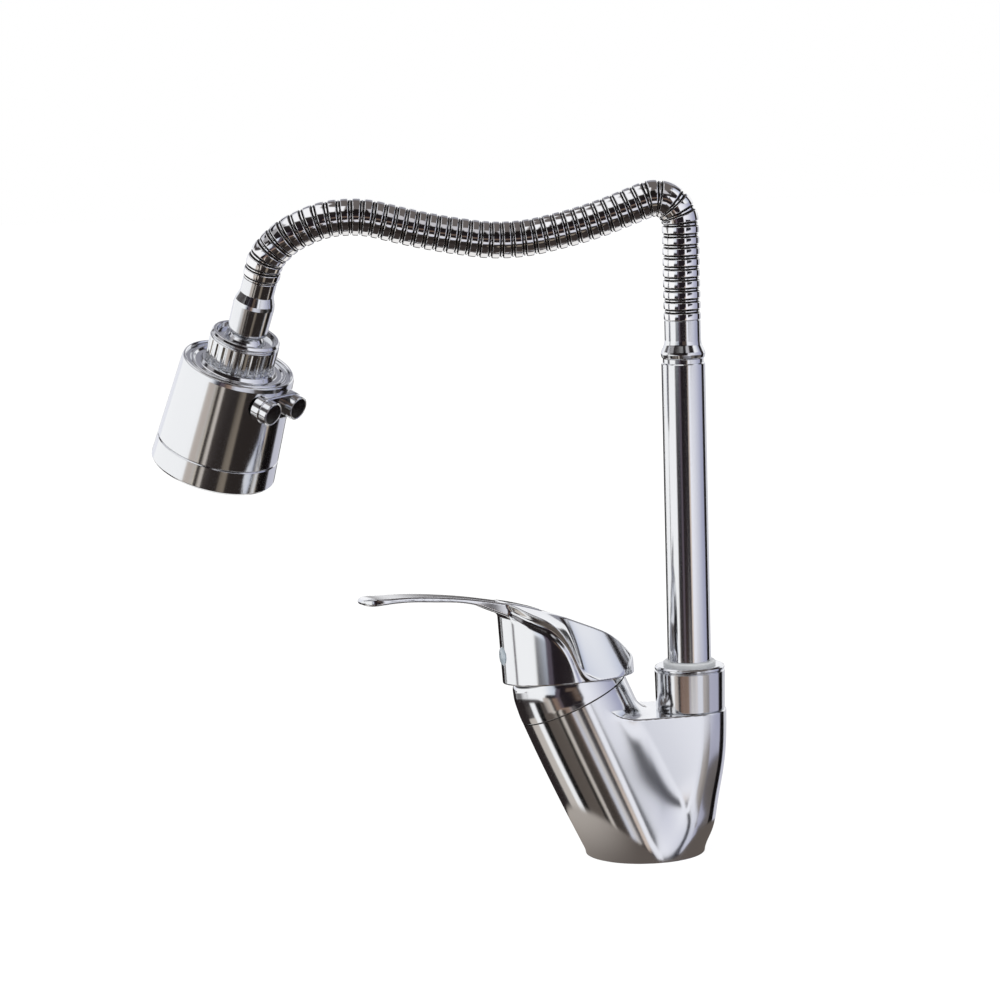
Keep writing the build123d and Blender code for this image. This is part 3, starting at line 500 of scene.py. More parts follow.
class Wire:
    """One socket of a node tree, with arithmetic on values.

    Args:
        tree: the tree that the socket is in.
        socket: the output socket, or a plain number.
    """

    def __init__(self, tree: "NodeTree", socket: object) -> None:
        """Keep the socket and its tree."""
        self.tree, self.socket = tree, socket

    def apply(self, operation: str, *others: object) -> "Wire":
        """A Math node on this socket and the others."""
        values = dict(enumerate([self, *others]))
        return self.tree.add("ShaderNodeMath", {"operation": operation}, values)

    def __add__(self, other: object) -> "Wire":
        """The sum."""
        return self.apply("ADD", other)

    def __sub__(self, other: object) -> "Wire":
        """The difference."""
        return self.apply("SUBTRACT", other)

    def __rsub__(self, other: object) -> "Wire":
        """The difference, with this on the right."""
        return self.tree.add("ShaderNodeMath", {"operation": "SUBTRACT"}, {0: other, 1: self})

    def __mul__(self, other: object) -> "Wire":
        """The product."""
        return self.apply("MULTIPLY", other)

    __radd__, __rmul__ = __add__, __mul__

    def sibling(self, output: object) -> "Wire":
        """Another output of the same node."""
        return Wire(self.tree, self.socket.node.outputs[output])

    def turned(self, other: object) -> "Wire":
        """The angle of (other, this), in degrees."""
        return self.apply("ARCTAN2", other) * math.degrees(1)

    def arcsine(self) -> "Wire":
        """The angle whose sine this is, in degrees."""
        return self.apply("ARCSINE") * math.degrees(1)

    def band(self, low: float, high: float) -> "Wire":
        """A smooth rise from 0 to 1.

        Args:
            low: where it is 0; it may be the larger.
            high: where it is 1.

        Returns:
            The share.
        """
        settings = {"interpolation_type": "SMOOTHSTEP"}
        ends = {"Value": self, "From Min": low, "From Max": high}
        return self.tree.add("ShaderNodeMapRange", settings, ends)

    def within(self, low: float, high: float, soft: float) -> "Wire":
        """1 between low and high, falling off over soft outside."""
        half = (high - low) / 2
        return (self - (low + high) / 2).apply("ABSOLUTE").band(half + soft, half)


class NodeTree:
    """A material's or the world's node tree."""

    def __init__(self, tree: bpy.types.NodeTree) -> None:
        """Start with an empty tree."""
        self.tree = tree
        tree.nodes.clear()

    @classmethod
    def material(cls, name: str) -> tuple[bpy.types.Material, "NodeTree"]:
        """Make a material.

        Args:
            name: the material's name.

        Returns:
            The material and its empty tree.
        """
        made = bpy.data.materials.new(name)
        made.use_nodes = True
        return made, cls(made.node_tree)

    def add(self, kind: str, settings: Optional[dict] = None, inputs: Optional[dict] = None,
            output: object = 0) -> Wire:
        """Add a node.

        Args:
            kind: the node's type.
            settings: attributes set first.
            inputs: values or wires for its sockets, by name or number.
            output: which output the returned wire carries.

        Returns:
            The wire from the node's output.
        """
        node = self.tree.nodes.new(kind)
        for key, value in (settings or {}).items():
            setattr(node, key, value)
        for key, value in (inputs or {}).items():
            if isinstance(value, Wire):
                self.tree.links.new(value.socket, node.inputs[key])
            else:
                node.inputs[key].default_value = value
        return Wire(self, node.outputs[output] if len(node.outputs) else None)

    def output(self, kind: str, shader: Wire) -> None:
        """Send a shader to an output node of the given kind."""
        self.add(kind, None, {"Surface": shader})

    def mix(self, share: object, first: object, second: object) -> Wire:
        """A colour between two, by share."""
        return self.add("ShaderNodeMix", {"data_type": "RGBA"}, {0: share, 6: first, 7: second}, 2)

    def noise(self, where: Wire, scale: float, detail: float = 2.0, rough: float = 0.5) -> Wire:
        """Noise in millimetre space, as a value."""
        inputs = {"Vector": where, "Scale": scale, "Detail": detail, "Roughness": rough}
        return self.add("ShaderNodeTexNoise", None, inputs)

    def place(self) -> Wire:
        """The piece's own coordinates, in millimetres."""
        own = self.add("ShaderNodeTexCoord", None, None, "Object")
        return self.add("ShaderNodeVectorMath", {"operation": "SCALE"}, {0: own, "Scale": 1000.0})


class Grain(Enum):
    """What a surface shows close up: how many broad and how many fine patches to a millimetre."""

    POLISHED = (0.035, 0.5)
    MOULDED = (0.12, 3.0)
    MACHINED = (0.2, 2.0)
    RUBBER = (0.25, 4.0)


@dataclass(frozen=True)
class Finish:
    """A procedural finish.

    Args:
        name: the material's name.
        colour: its base colour.
        rough: its roughness.
        metal: how metallic it is.
        grain: what it shows close up.
        wear: how much the colour and the roughness vary.
        relief: the height of its bump, in millimetres.
        see_through: the share of light that passes.
        coat: the strength of a clear coat.
        slot: the record's material slot of a piece that wears it; not used.
    """

    name: str
    colour: Colour
    rough: float
    metal: float = 0.0
    grain: Grain = Grain.MOULDED
    wear: float = 0.1
    relief: float = 0.01
    see_through: float = 0.0
    coat: float = 0.0
    slot: str = ""

    def make(self) -> bpy.types.Material:
        """Make the material.

        Returns:
            The material, reused where it was made before.
        """
        known = bpy.data.materials.get(self.name)
        if known is not None:
            return known
        material, tree = NodeTree.material(self.name)
        where = tree.place()
        broad_scale, fine_scale = self.grain.value
        broad = tree.noise(where, broad_scale, 3.0)
        fine = tree.noise(where, fine_scale, 2.0, 0.6)
        cloud = (broad - 0.5) * self.wear
        dark = tuple(c * (1 - self.wear) for c in self.colour)
        shade = tree.mix((broad * 0.6 + fine * 0.4).band(0.35, 0.65), (*dark, 1.0), (*self.colour, 1.0))
        rough = cloud * 0.3 + fine * (self.wear * 0.2) + self.rough
        if self.grain is Grain.MACHINED:
            rings = tree.add("ShaderNodeTexWave", {"wave_type": "BANDS", "bands_direction": "Z"},
                             {"Vector": where, "Scale": 1.6, "Distortion": 1.0, "Detail": 1.0}, 1)
            rough = rough + rings * 0.08
        bump = tree.add("ShaderNodeBump", None,
                        {"Strength": 0.35, "Distance": self.relief * MM,
                         "Height": broad * 0.5 + fine * 0.5})
        shader = tree.add("ShaderNodeBsdfPrincipled", None, {
            "Base Color": shade, "Roughness": rough, "Metallic": self.metal, "Normal": bump,
            "Coat Weight": self.coat, "Transmission Weight": self.see_through, "Coat Roughness": 0.06})
        tree.output("ShaderNodeOutputMaterial", shader)
        return material

    def dress(self, piece: bpy.types.Object) -> None:
        """Put the finish on every slot of a piece.

        Args:
            piece: the piece.
        """
        material = self.make()
        if not piece.data.materials:
            piece.data.materials.append(material)
        for slot in piece.material_slots:
            slot.material = material

    def dress_nodes(self, *nodes: str) -> None:
        """Put the finish on solids that show as they are."""
        for node in nodes:
            self.dress(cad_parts[node])

    def cover(self, piece: bpy.types.Object, body: str, *nodes: str) -> None:
        """Dress a piece, let it ride on a body and hide the solids that it stands for.

        Args:
            piece: the piece.
            body: the body that it rides on.
            nodes: the solids that it stands for.
        """
        self.dress(piece)
        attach(piece, body)
        self.book(piece, *nodes)

    def book(self, piece: bpy.types.Object, *nodes: str) -> None:
        """Hide the solids that a piece stands for, and log the piece's faces.

        Args:
            piece: the piece.
            nodes: the solids that it stands for.
        """
        if nodes:
            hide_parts(*nodes)
        log.info("%s: %d faces", piece.name, len(piece.data.polygons))


CHROME = Finish("polished_chrome", (0.93, 0.93, 0.94), 0.03, 1.0, Grain.POLISHED, 0.03, 0.002,
                slot="polished_chrome")
ARMOUR = Finish("armour_chrome", (0.90, 0.90, 0.91), 0.06, 1.0, Grain.POLISHED, 0.05, 0.002,
                slot="chrome_armour")
# Painted shade: a dark finish laid on seams and on the armour's slot walls, where shade falls between parts.
PAINTED_SHADE = Finish("groove_dark", (0.10, 0.095, 0.09), 0.45, 0.8, Grain.MACHINED, 0.3, 0.01)
NYLON = Finish("nylon_ring", (0.78, 0.80, 0.82), 0.28, 0.0, Grain.MOULDED, 0.08, 0.01, 0.25,
               slot="nylon_white")
BRASS = Finish("cast_brass", (0.66, 0.50, 0.24), 0.32, 1.0, Grain.MACHINED, 0.2, 0.02)
ROUGH_CASTING = Finish("casting_inside", (0.42, 0.40, 0.37), 0.5, 0.9, Grain.MACHINED, 0.25, 0.05)
CARTRIDGE = Finish("cartridge_moulding", (0.80, 0.80, 0.77), 0.42, 0.0, Grain.MOULDED, 0.08, 0.01)
VALVE = Finish("valve_moulding", (0.10, 0.105, 0.11), 0.45, 0.0, Grain.MOULDED, 0.15, 0.01)
CERAMIC = Finish("lapped_ceramic", (0.90, 0.88, 0.84), 0.12, 0.0, Grain.MOULDED, 0.04, 0.002, 0.0, 0.3)
RUBBER = Finish("black_rubber", (0.03, 0.03, 0.032), 0.6, 0.0, Grain.RUBBER, 0.25, 0.02)
SPRAY_FACE = Finish("spray_face_moulding", (0.24, 0.245, 0.26), 0.42, 0.0, Grain.MOULDED, 0.12, 0.015)
NOZZLES = Finish("nozzle_silicone", (0.55, 0.56, 0.58), 0.5, 0.0, Grain.RUBBER, 0.1, 0.01)
STEEL = Finish("plain_steel", (0.60, 0.60, 0.60), 0.28, 1.0, Grain.MACHINED, 0.15, 0.01)
PLUG = Finish("indicator_plug", (0.52, 0.60, 0.66), 0.10, 0.0, Grain.MOULDED, 0.08, 0.004, 0.2, 0.6,
              "indicator")


@dataclass
class Sizes:
    """The mixer's main sizes in millimetres and angles in degrees, as in its solids."""

    foot_radius: float = 26.7
    arm_radius: float = 26.0
    arm_lean: float = 24.0
    arm_length: float = 78.0
    arm_shift: float = 1.2
    spout_reach: float = 22.9
    spout_floor: float = 66.4
    seam_rise: float = 2.2
    nut_top: float = 87.2
    pivot_rise: float = 13.0
    lever_swing: float = 12.0
    lever_lift: float = 21.5
    tube_top: float = 227.7
    hose_tip: tuple[float, float, float] = (-9.1, -168.4, 271.7)
    neck_length: float = 10.5
    side_lean: float = 15.96
    back_lean: float = 15.69
    button_bearing: float = 49.0

    def arm(self) -> Axes:
        """The cartridge arm's axes at the bonnet's seam."""
        a = math.radians(self.arm_lean)
        up = np.array([0, -math.sin(a), math.cos(a)])
        return Axes(np.array([0, self.arm_shift, 0]) + up * self.arm_length, np.array([1.0, 0, 0]), up)

    def lever(self) -> Axes:
        """The lever's axes at its pin: across sideways, side to the rear, up."""
        return self.arm().spun(self.lever_swing).raised(self.pivot_rise).pitched(-self.lever_lift)

    def spout(self) -> Axes:
        """The spout's upright axes on the deck."""
        return Axes(np.array([0, self.spout_reach, 0]), np.array([1.0, 0, 0]), np.array([0, 0, 1.0]))

    def head(self) -> Axes:
        """The head's axes: across towards the buttons, up along the water's way down."""
        s, b = math.radians(self.side_lean), math.radians(self.back_lean)
        rise = np.array([math.sin(s), math.cos(s) * math.sin(b), math.cos(s) * math.cos(b)])
        w = math.radians(self.button_bearing)
        facing = np.array([math.cos(w), math.sin(w), 0])
        facing = unit(facing - rise * (facing @ rise))
        return Axes(np.array(self.hose_tip) - rise * self.neck_length, facing, -rise)


@dataclass
class Casting:
    """The Y-shaped casting: a leaning arm, and a spout arm with its web.

    Args:
        sizes: the mixer's sizes.
        rings: the web's outline by height, as two circles' places and radii.
        valley: how far the two arms blend.
        edge: the rounding of the web's upper edge.
        cell: the size of the skin's cells.
        inlets: the (x, y, radius, depth) of each hole underneath.
        groove: the gasket groove's inner and outer radii, the foot's radius and the groove's depth.
    """

    sizes: Sizes
    rings: tuple = ((0, -2.0, 22.0, 3.7, 22.4), (7, 2.0, 20.5, 9.4, 21.3), (21, 5.0, 19.5, 15.4, 19.0),
                    (42, 0.0, 20.5, 20.9, 17.3), (66.4, -5.0, 21.6, 22.9, 16.6))
    valley: float = 6.5
    edge: float = 0.8
    cell: float = 0.85
    inlets: tuple = ((-9.0, -8.0, 4.5, 14.0), (9.0, -8.0, 4.5, 14.0), (0.0, 12.0, 3.4, 16.0))
    groove: tuple = (21.6, 25.0, 26.72, 2.0)

    def __post_init__(self) -> None:
        """Fit the web's outline over its height."""
        self.outline = SmoothCurve(self.rings)

    def distance(self, points: Array) -> Array:
        """The signed distance to the casting's outside.

        Args:
            points: points in the row frame.

        Returns:
            Their distances, negative inside.
        """
        s = self.sizes
        x, y, z = points[:, 0], points[:, 1], points[:, 2]
        seam = s.arm().origin
        lean = math.radians(s.arm_lean)
        hub = seam[1] - seam[2] / math.tan(lean)
        slope = np.tan(np.clip(np.arctan2(z, y - hub), -0.3, 1.2))
        share = -hub * slope / (seam[2] - seam[1] * slope)
        centre = np.hypot(share * seam[1] - hub, share * seam[2])
        radius = s.foot_radius + (s.arm_radius - s.foot_radius) * np.clip(share, 0, 1.2)
        arm = np.hypot(x, np.hypot(y - hub, z) - centre) - radius
        near, near_radius, far, far_radius = np.moveaxis(self.outline(z), -1, 0)
        web = tapered_pill(x, y, near, near_radius, far, far_radius)
        web = soft_max(web, z - s.spout_floor, self.edge)
        return soft_min(arm, web, self.valley)

    def build(self) -> None:
        """Make the casting's skin and underside, and dress its gasket."""
        s = self.sizes
        arm = s.arm()
        skin = ImplicitSkin(self.distance, (-29, -62, -3), (29, 43, 92), self.cell)
        piece = skin.piece("casting_skin")
        self._cut(piece, arm.origin + arm.up * (s.seam_rise - 0.12), arm.up)
        self._cut(piece, DECK.origin, -DECK.up)
        whole = MeshMaker.join("casting_skin", [piece, self._underside()])
        CHROME.cover(whole, "faucet_body", "body_casting")
        RUBBER.dress_nodes("base_gasket")

    @staticmethod
    def _cut(piece: bpy.types.Object, point: Array, way: Array) -> None:
        """Cut away what lies beyond a plane, keeping the exact normals of the rest.

        Args:
            piece: the piece to cut.
            point: a point of the plane, in millimetres.
            way: the plane's normal, towards what goes.
        """
        data = piece.data
        keep = np.array([c.vector for c in data.corner_normals])
        mesh = bmesh.new()
        mesh.from_mesh(data)
        layer = mesh.loops.layers.float_vector.new("exact")
        for face in mesh.faces:
            for loop in face.loops:
                loop[layer] = keep[loop.index]
        bmesh.ops.bisect_plane(mesh, geom=mesh.verts[:] + mesh.edges[:] + mesh.faces[:], dist=1e-7,
                               plane_co=Vector(point * MM), plane_no=Vector(way), clear_outer=True)
        mesh.to_mesh(data)
        mesh.free()
        exact = data.attributes["exact"]
        normals = np.zeros(len(data.loops) * 3, np.float32)
        exact.data.foreach_get("vector", normals)
        data.attributes.remove(exact)
        data.normals_split_custom_set(normals.reshape(-1, 3).tolist())

    def _underside(self) -> bpy.types.Object:
        """The foot's flat underside with its groove, its holes and their walls.

        Returns:
            The joined underside.
        """
        below = Axes(DECK.origin, DECK.across, -DECK.up)
        inner, outer, foot, rise = self.groove
        holes = [(x, -y, radius) for x, y, radius, _ in self.inlets]
        parts = [MeshMaker.plate("underside", below, inner * circle(96), holes)]
        for name, outline in (("rim", [(outer, rise, 0), (outer, 0.0, 0), (foot, 0.0, 0)]),
                              ("rim_in", [(inner, 0.0, 0), (inner, rise, 0), (outer, rise, 0)])):
            parts.append(Lathe(96).turn(name, DECK, outline))
        for x, y, radius, depth in self.inlets:
            outline = [(0.0, depth, 0), (radius, depth, 0), (radius, 0.0, 0)]
            parts.append(Lathe(HOLE_SIDES).turn("well", DECK.moved(x, y, 0), outline))
        return MeshMaker.join("underside", parts)


@dataclass
class CartridgeStack:
    """The bonnet over the cartridge, the seam below it and the pieces inside."""

    sizes: Sizes

    def build(self) -> None:
        """Make the bonnet and dress the cartridge's pieces."""
        arm = self.sizes.arm()
        r = self.sizes.arm_radius
        low = self.sizes.seam_rise
        bonnet = Lathe(200).turn("bonnet_skin", arm, [
            (21.8, low + 0.12, 0), (r - 0.35, low + 0.12, 0.1), (r, low + 0.5, 0.25),
            (r - 0.1, low + 3.2, 20), (r - 0.95, 13.2, 22), (r - 2.9, 19.4, 5), (r - 6.5, 21.5, 5),
            (15.2, 21.5, 0.4), (15.0, 20.6, 0.4), (15.0, 19.7, 0), (18.0, 19.5, 2), (20.8, 17.5, 3),
            (22.3, 13.0, 3), (21.8, low + 0.12, 0)])
        CHROME.cover(bonnet, "faucet_body", "bonnet")
        # A thin ring of the dark finish at the bonnet's seam: painted shade in the crease.
        seam = Lathe(160).turn("seam_shadow", arm, [(r - 0.45, low + 0.3, 0), (r - 0.45, low - 0.3, 0)])
        PAINTED_SHADE.cover(seam, "faucet_body")
        CARTRIDGE.dress_nodes("cartridge_base", "cartridge_housing", "cartridge_rotor", "disc_carrier")
        RUBBER.dress_nodes("port_seals")
        CERAMIC.dress_nodes("fixed_ceramic_disc", "moving_ceramic_disc")
        BRASS.dress_nodes("cartridge_nut", "cartridge_stem")
        STEEL.dress_nodes("stem_pin", "handle_screw")


@dataclass
class Lever:
    """The lever handle: an oblong skirt under a sloping roof, and a thin curved blade.

    Args:
        sizes: the mixer's sizes.
        skirt: the skirt's radius, seen from above.
        rear: how far back the centre of its rear half lies.
        reach: how far forward the blade reaches.
        cell: the size of the skin's cells.
        cove_depth: the depth of the cove under the roof's edge.
        cove_drop: how far below that edge it is deepest.
        cove_width: how wide it is.
        cove_fade: where it begins to fade towards the rear, and where it has gone.
        edge_round: the rounding of the roof's edges.
        rim_round: the rounding of the lower rim.
        blade_round: the rounding of the blade's sides and of its tip.
        blade_root: where the blade ends under the roof.
        blade_blend: how far the blade blends into the roof.
        hollow_top: how high the hollow goes.
        roof_foot: how far out the heights of the roof's flanks are given.
        plug_place: where the indicator plug sits.
        roof: the (place, half width, height, flank's height) of the roof, from front to rear.
        blade: the (place, half width, underside, upper side) of the blade.
        hollow: the (height, middle, half width, half length) of the hollow.
    """

    sizes: Sizes
    skirt: float = 28.0
    rear: float = 5.0
    reach: float = 93.0
    cell: float = 0.5
    cove_depth: float = 1.1
    cove_drop: float = 3.6
    cove_width: float = 2.2
    cove_fade: tuple[float, float] = (12.0, 18.0)
    edge_round: float = 0.9
    rim_round: float = 0.6
    blade_round: tuple[float, float] = (1.0, 1.2)
    blade_root: float = -12.0
    blade_blend: float = 1.6
    hollow_top: float = 16.0
    roof_foot: float = 32.0
    plug_place: tuple[float, float, float] = (0.0, -26.0, 13.1)
    roof: tuple = ((-40, 10.0, 41.0, 37.5), (-28, 10.4, 38.6, 35.0), (-20, 10.9, 36.6, 30.3),
                   (-13, 11.5, 34.2, 27.7), (-6.7, 12.0, 32.0, 21.5), (-2.6, 12.3, 30.3, 12.8),
                   (0.5, 12.5, 29.0, 2.8), (5.7, 12.7, 26.6, -4.4), (15, 12.6, 22.3, -10.6),
                   (25, 11.5, 15.5, -17.0), (34, 10.0, 4.0, -26.0))
    blade: tuple = ((-93, 4.2, 44.5, 45.9), (-91.4, 7.4, 43.8, 46.5), (-86, 11.2, 43.4, 46.6),
                    (-75, 10.9, 43.6, 46.1), (-57.7, 10.0, 41.9, 44.4), (-39.3, 9.7, 38.2, 41.2),
                    (-31, 10.3, 34.2, 39.3), (-20, 10.9, 29.5, 36.5), (-12, 11.4, 26.5, 34.0))
    hollow: tuple = ((0, 1.9, 26.2, 27.3), (9.6, 0.8, 21.4, 22.4), (16, 0.5, 17.0, 18.5))

    def __post_init__(self) -> None:
        """Fit the roof, the blade and the hollow."""
        self.roof_curve, self.blade_curve = SmoothCurve(self.roof), SmoothCurve(self.blade)
        self.hollow_curve = SmoothCurve(self.hollow)

    def distance(self, points: Array) -> Array:
        """The signed distance to the handle: v across, u to the rear, w up.

        Args:
            points: points in the lever's own axes.

        Returns:
            Their distances, negative inside.
        """
        v, u, w = np.abs(points[:, 0]), points[:, 1], points[:, 2]
        half, top, flank = np.moveaxis(self.roof_curve(u), -1, 0)
        rise, run = top - flank, self.roof_foot - half
        side = ((v - half) * rise + (w - top) * run) / np.hypot(rise, run)
        ahead = self.roof_curve(u + 0.5)[:, 1] - self.roof_curve(u - 0.5)[:, 1]
        crown = (w - top) / np.sqrt(1 + ahead ** 2)
        plan = np.hypot(v, u - np.clip(u, 0, self.rear)) - self.skirt
        cove = self.cove_depth * np.exp(-((side + self.cove_drop) / self.cove_width) ** 2)
        fade_start, fade_end = self.cove_fade
        plan = plan + cove * np.clip((fade_end - u) / (fade_end - fade_start), 0, 1)
        cap = soft_max(soft_max(crown, side, self.edge_round), plan, self.edge_round)
        cap = soft_max(cap, -w, self.rim_round)
        sink, high_v, high_u = np.moveaxis(self.hollow_curve(w), -1, 0)
        scale = np.hypot(v / high_v, (u - sink) / high_u)
        cavity = np.maximum((scale - 1) * high_u, w - self.hollow_top)
        cap = np.maximum(cap, -cavity)
        wide, under, over = np.moveaxis(self.blade_curve(u), -1, 0)
        middle, thick = (under + over) / 2, (over - under) / 2
        bend = self.blade_curve(u + 0.5) - self.blade_curve(u - 0.5)
        tilt = np.sqrt(1 + ((bend[:, 1] + bend[:, 2]) / 2) ** 2)
        side_round, tip_round = self.blade_round
        flat = (np.abs(w - middle) - thick) / tilt
        plate = soft_max(flat, (v - wide) / np.sqrt(1 + bend[:, 0] ** 2), side_round)
        plate = soft_max(plate, -self.reach - u, tip_round)
        plate = np.maximum(plate, u - self.blade_root)
        return soft_min(cap, plate, self.blade_blend)

    def build(self) -> None:
        """Make the handle and its indicator plug."""
        lever = self.sizes.lever()
        skin = ImplicitSkin(self.distance, (-30, -95, -2), (30, 36, 49), self.cell)
        handle = skin.piece("handle_skin", lever)
        CHROME.cover(handle, "lever", "lever_handle")
        front = Axes(lever.place(np.array(self.plug_place)), lever.across, -lever.side)
        plug = Lathe(64).turn("indicator_disc", front, [
            (4.4, -0.6, 0), (4.4, 2.0, 0.3), (3.7, 2.6, 0.6), (2.2, 3.0, 2), (0.0, 3.1, 0)])
        PLUG.cover(plug, "lever", "indicator_plug")


@dataclass
class SpoutColumn:
    """The spout nut, the nylon ring, the tube and the ferrule on top."""

    sizes: Sizes

    def build(self) -> None:
        """Make the column's pieces."""
        spout = self.sizes.spout()
        lathe = Lathe(176)
        low = self.sizes.spout_floor
        high = self.sizes.nut_top
        nut = lathe.turn("spout_nut_skin", spout, [
            (12.0, low + 0.02, 0), (15.5, low + 0.02, 0.2), (15.9, low + 0.5, 0.3), (16.25, high - 2.6, 0.15),
            (15.7, high - 2.25, 0.2), (15.75, high - 1.95, 0.15), (16.15, high - 1.6, 0.3),
            (16.1, high - 0.8, 0.4), (15.2, high, 0.5), (11.2, high, 0)])
        CHROME.cover(nut, "faucet_body", "spout_nut")
        ring = lathe.turn("nylon_ring", spout, [
            (12.1, high, 0), (12.1, high + 1.4, 0.4), (11.5, high + 2.0, 0.3), (10.08, high + 2.0, 0),
            (10.08, low + 13.7, 0), (11.1, low + 13.7, 0), (11.1, high, 0)])
        NYLON.cover(ring, "faucet_body", "spout_bush")
        top = self.sizes.tube_top
        tube = lathe.turn("tube_skin", spout, [
            (10.0, low + 13.5, 0), (10.0, top - 0.5, 0), (9.6, top, 0.4), (9.0, top, 0.1),
            (9.0, low + 13.5, 0)])
        CHROME.cover(tube, "spout", "spout_tube")
        ferrule = lathe.turn("ferrule_skin", spout, [
            (9.3, top - 0.6, 0), (9.3, top + 1.9, 0.3), (9.9, top + 2.5, 0.4), (10.2, top + 4.1, 1.2),
            (9.9, top + 5.2, 0.6), (8.5, top + 8.4, 2.0), (8.25, top + 10.2, 2.0), (8.25, top + 19.3, 0.3),
            (7.9, top + 19.7, 0.3), (7.1, top + 19.7, 0), (7.1, top + 12, 0)])
        CHROME.cover(ferrule, "spout", "lower_ferrule")
        BRASS.dress_nodes("spout_foot")
        RUBBER.dress_nodes("spout_o_rings")


@dataclass
class Gooseneck:
    """The ribbed armour, in five stretches, each with one ball joint in it.

    Args:
        sizes: the mixer's sizes.
        route: the corners of its middle line, as in the solids.
        last_run: the length of the line's last run.
        tight: the radius of its first two bends.
        start: the station of the first rib.
        joints: the stations of the ball joints.
        pitch: the distance from rib to rib.
        crest: the ribs' radius.
        floor: the radius of the recesses between them.
        slot: the radius down in the slots beside a rib.
        land: how long a rib is.
        gap: how wide a slot is.
        bend_reach: how far to either side of a joint two points are worked out, which are then not used.
        sides: the number of corners round it.
    """

    sizes: Sizes
    route: tuple = ((0, 22.9, 236), (0, 22.9, 298.7), (0, 12, 304.2), (0, -19, 292.6), (0, -56, 284.9),
                    (0, -92, 291.2), (0, -122, 299.4), (-0.8, -139.6, 298.6), (-3.2, -156.2, 291.2))
    last_run: float = 11.0
    tight: float = 12.9
    start: float = 11.35
    joints: tuple = (34.0, 87.0, 137.0, 190.0, 236.5)
    pitch: float = 4.95
    crest: float = 8.45
    floor: float = 7.95
    slot: float = 7.45
    land: float = 3.1
    gap: float = 0.66
    bend_reach: float = 9.0
    sides: int = 96

    def __post_init__(self) -> None:
        """Lay the centreline: straight runs joined by tangent arcs, as in the solids."""
        rise = -self.sizes.head().up
        tip = np.array(self.sizes.hose_tip)
        points = [np.array(p, float) for p in self.route] + [tip + rise * self.last_run, tip]
        here = points[0]
        self.path: list[tuple] = []
        for index in range(1, len(points) - 1):
            before, corner, after = points[index - 1:index + 2]
            into, out = unit(corner - before), unit(after - corner)
            half = math.acos(float(np.clip(into @ out, -1, 1))) / 2
            shorter = min(np.linalg.norm(corner - before), np.linalg.norm(after - corner))
            radius = self.tight if index <= 2 else min(0.45 * shorter / math.tan(half), 400)
            cut = radius * math.tan(half)
            begin, end = corner - into * cut, corner + out * cut
            self.path.append(("run", here, begin, None))
            self.path.append(("arc", begin, end, (into, out, radius, 2 * half)))
            here = end
        self.path.append(("run", here, points[-1], None))
        lengths = [np.linalg.norm(b - a) if kind == "run" else arc[2] * arc[3]
                   for kind, a, b, arc in self.path]
        self.marks = np.concatenate([[0], np.cumsum(lengths)])

    def at(self, station: float) -> Axes:
        """The axes across the hose at a distance along it.

        Args:
            station: the distance from the ferrule, in millimetres.

        Returns:
            The axes, their up along the hose.
        """
        k = int(np.clip(np.searchsorted(self.marks, station) - 1, 0, len(self.path) - 1))
        kind, a, b, arc = self.path[k]
        part = station - self.marks[k]
        if kind == "run":
            way = unit(b - a)
            point = a + way * part
        else:
            into, out, radius, _ = arc
            inward = unit(out - into * (into @ out))
            angle = part / radius
            way = into * math.cos(angle) + inward * math.sin(angle)
            point = a + radius * (into * math.sin(angle) + inward * (1 - math.cos(angle)))
        return Axes(point, unit(np.array([1.0, 0, 0]) - way * way[0]), way)

    def rib(self, base: float) -> Rows:
        """One rib and the recess after it.

        Args:
            base: the station where the rib begins.

        Returns:
            (station, radius, normal out, normal along, in shadow) rows.
        """
        top, low, edge, far = self.crest, self.floor, base + self.land, base + self.pitch
        wall = [(0.0, self.slot, 0.0, 1.0, True), (0.0, top - 0.3, 0.0, 1.0, True),
                (0.0, top - 0.3, 0.5, 0.87, False), (0.12, top - 0.12, 0.8, 0.6, False)]
        bank = [(-0.02, self.slot, 0.0, 1.0, True), (0.0, low - 0.05, 0.0, 1.0, True),
                (0.0, low - 0.05, 0.9, 0.44, False), (0.12, low, 1.0, 0.0, False)]
        crown = []
        for t in (-1.0, -0.5, 0.0, 0.5, 1.0):
            here = base + self.land / 2 + t * (self.land / 2 - 0.35)
            crown.append((here, top - 0.02 * t * t, 1.0, 0.03 * t, False))
        flat = [((edge + far) / 2, low, 1.0, 0.0, False)]
        rows: Rows = []
        for start, end, side, middle in ((base, edge, wall, crown),
                                         (edge + self.gap, far - self.gap, bank, flat)):
            rows += [(start + d, r, out, -along, dark) for d, r, out, along, dark in side]
            rows += middle
            rows += [(end - d, r, out, along, dark) for d, r, out, along, dark in reversed(side)]
        return rows

    def profile(self, start: float, end: float) -> Rows:
        """The armour's rows over a stretch, with a row of its own at either end.

        Args:
            start: the station where the stretch begins.
            end: the station where it ends.

        Returns:
            The rows, as from rib.
        """
        first = math.floor((start - self.start) / self.pitch)
        last = math.ceil((end - self.start) / self.pitch)
        rows = [row for n in range(first, last + 1) for row in self.rib(self.start + n * self.pitch)]
        inner = [row for row in rows if start < row[0] < end]
        return [(start, self.floor, 1.0, 0.0, False), *inner, (end, self.floor, 1.0, 0.0, False)]

    def recess(self, station: float) -> float:
        """The middle of the recess nearest a station."""
        first = self.start + (self.land + self.pitch) / 2
        return first + self.pitch * round((station - first) / self.pitch)

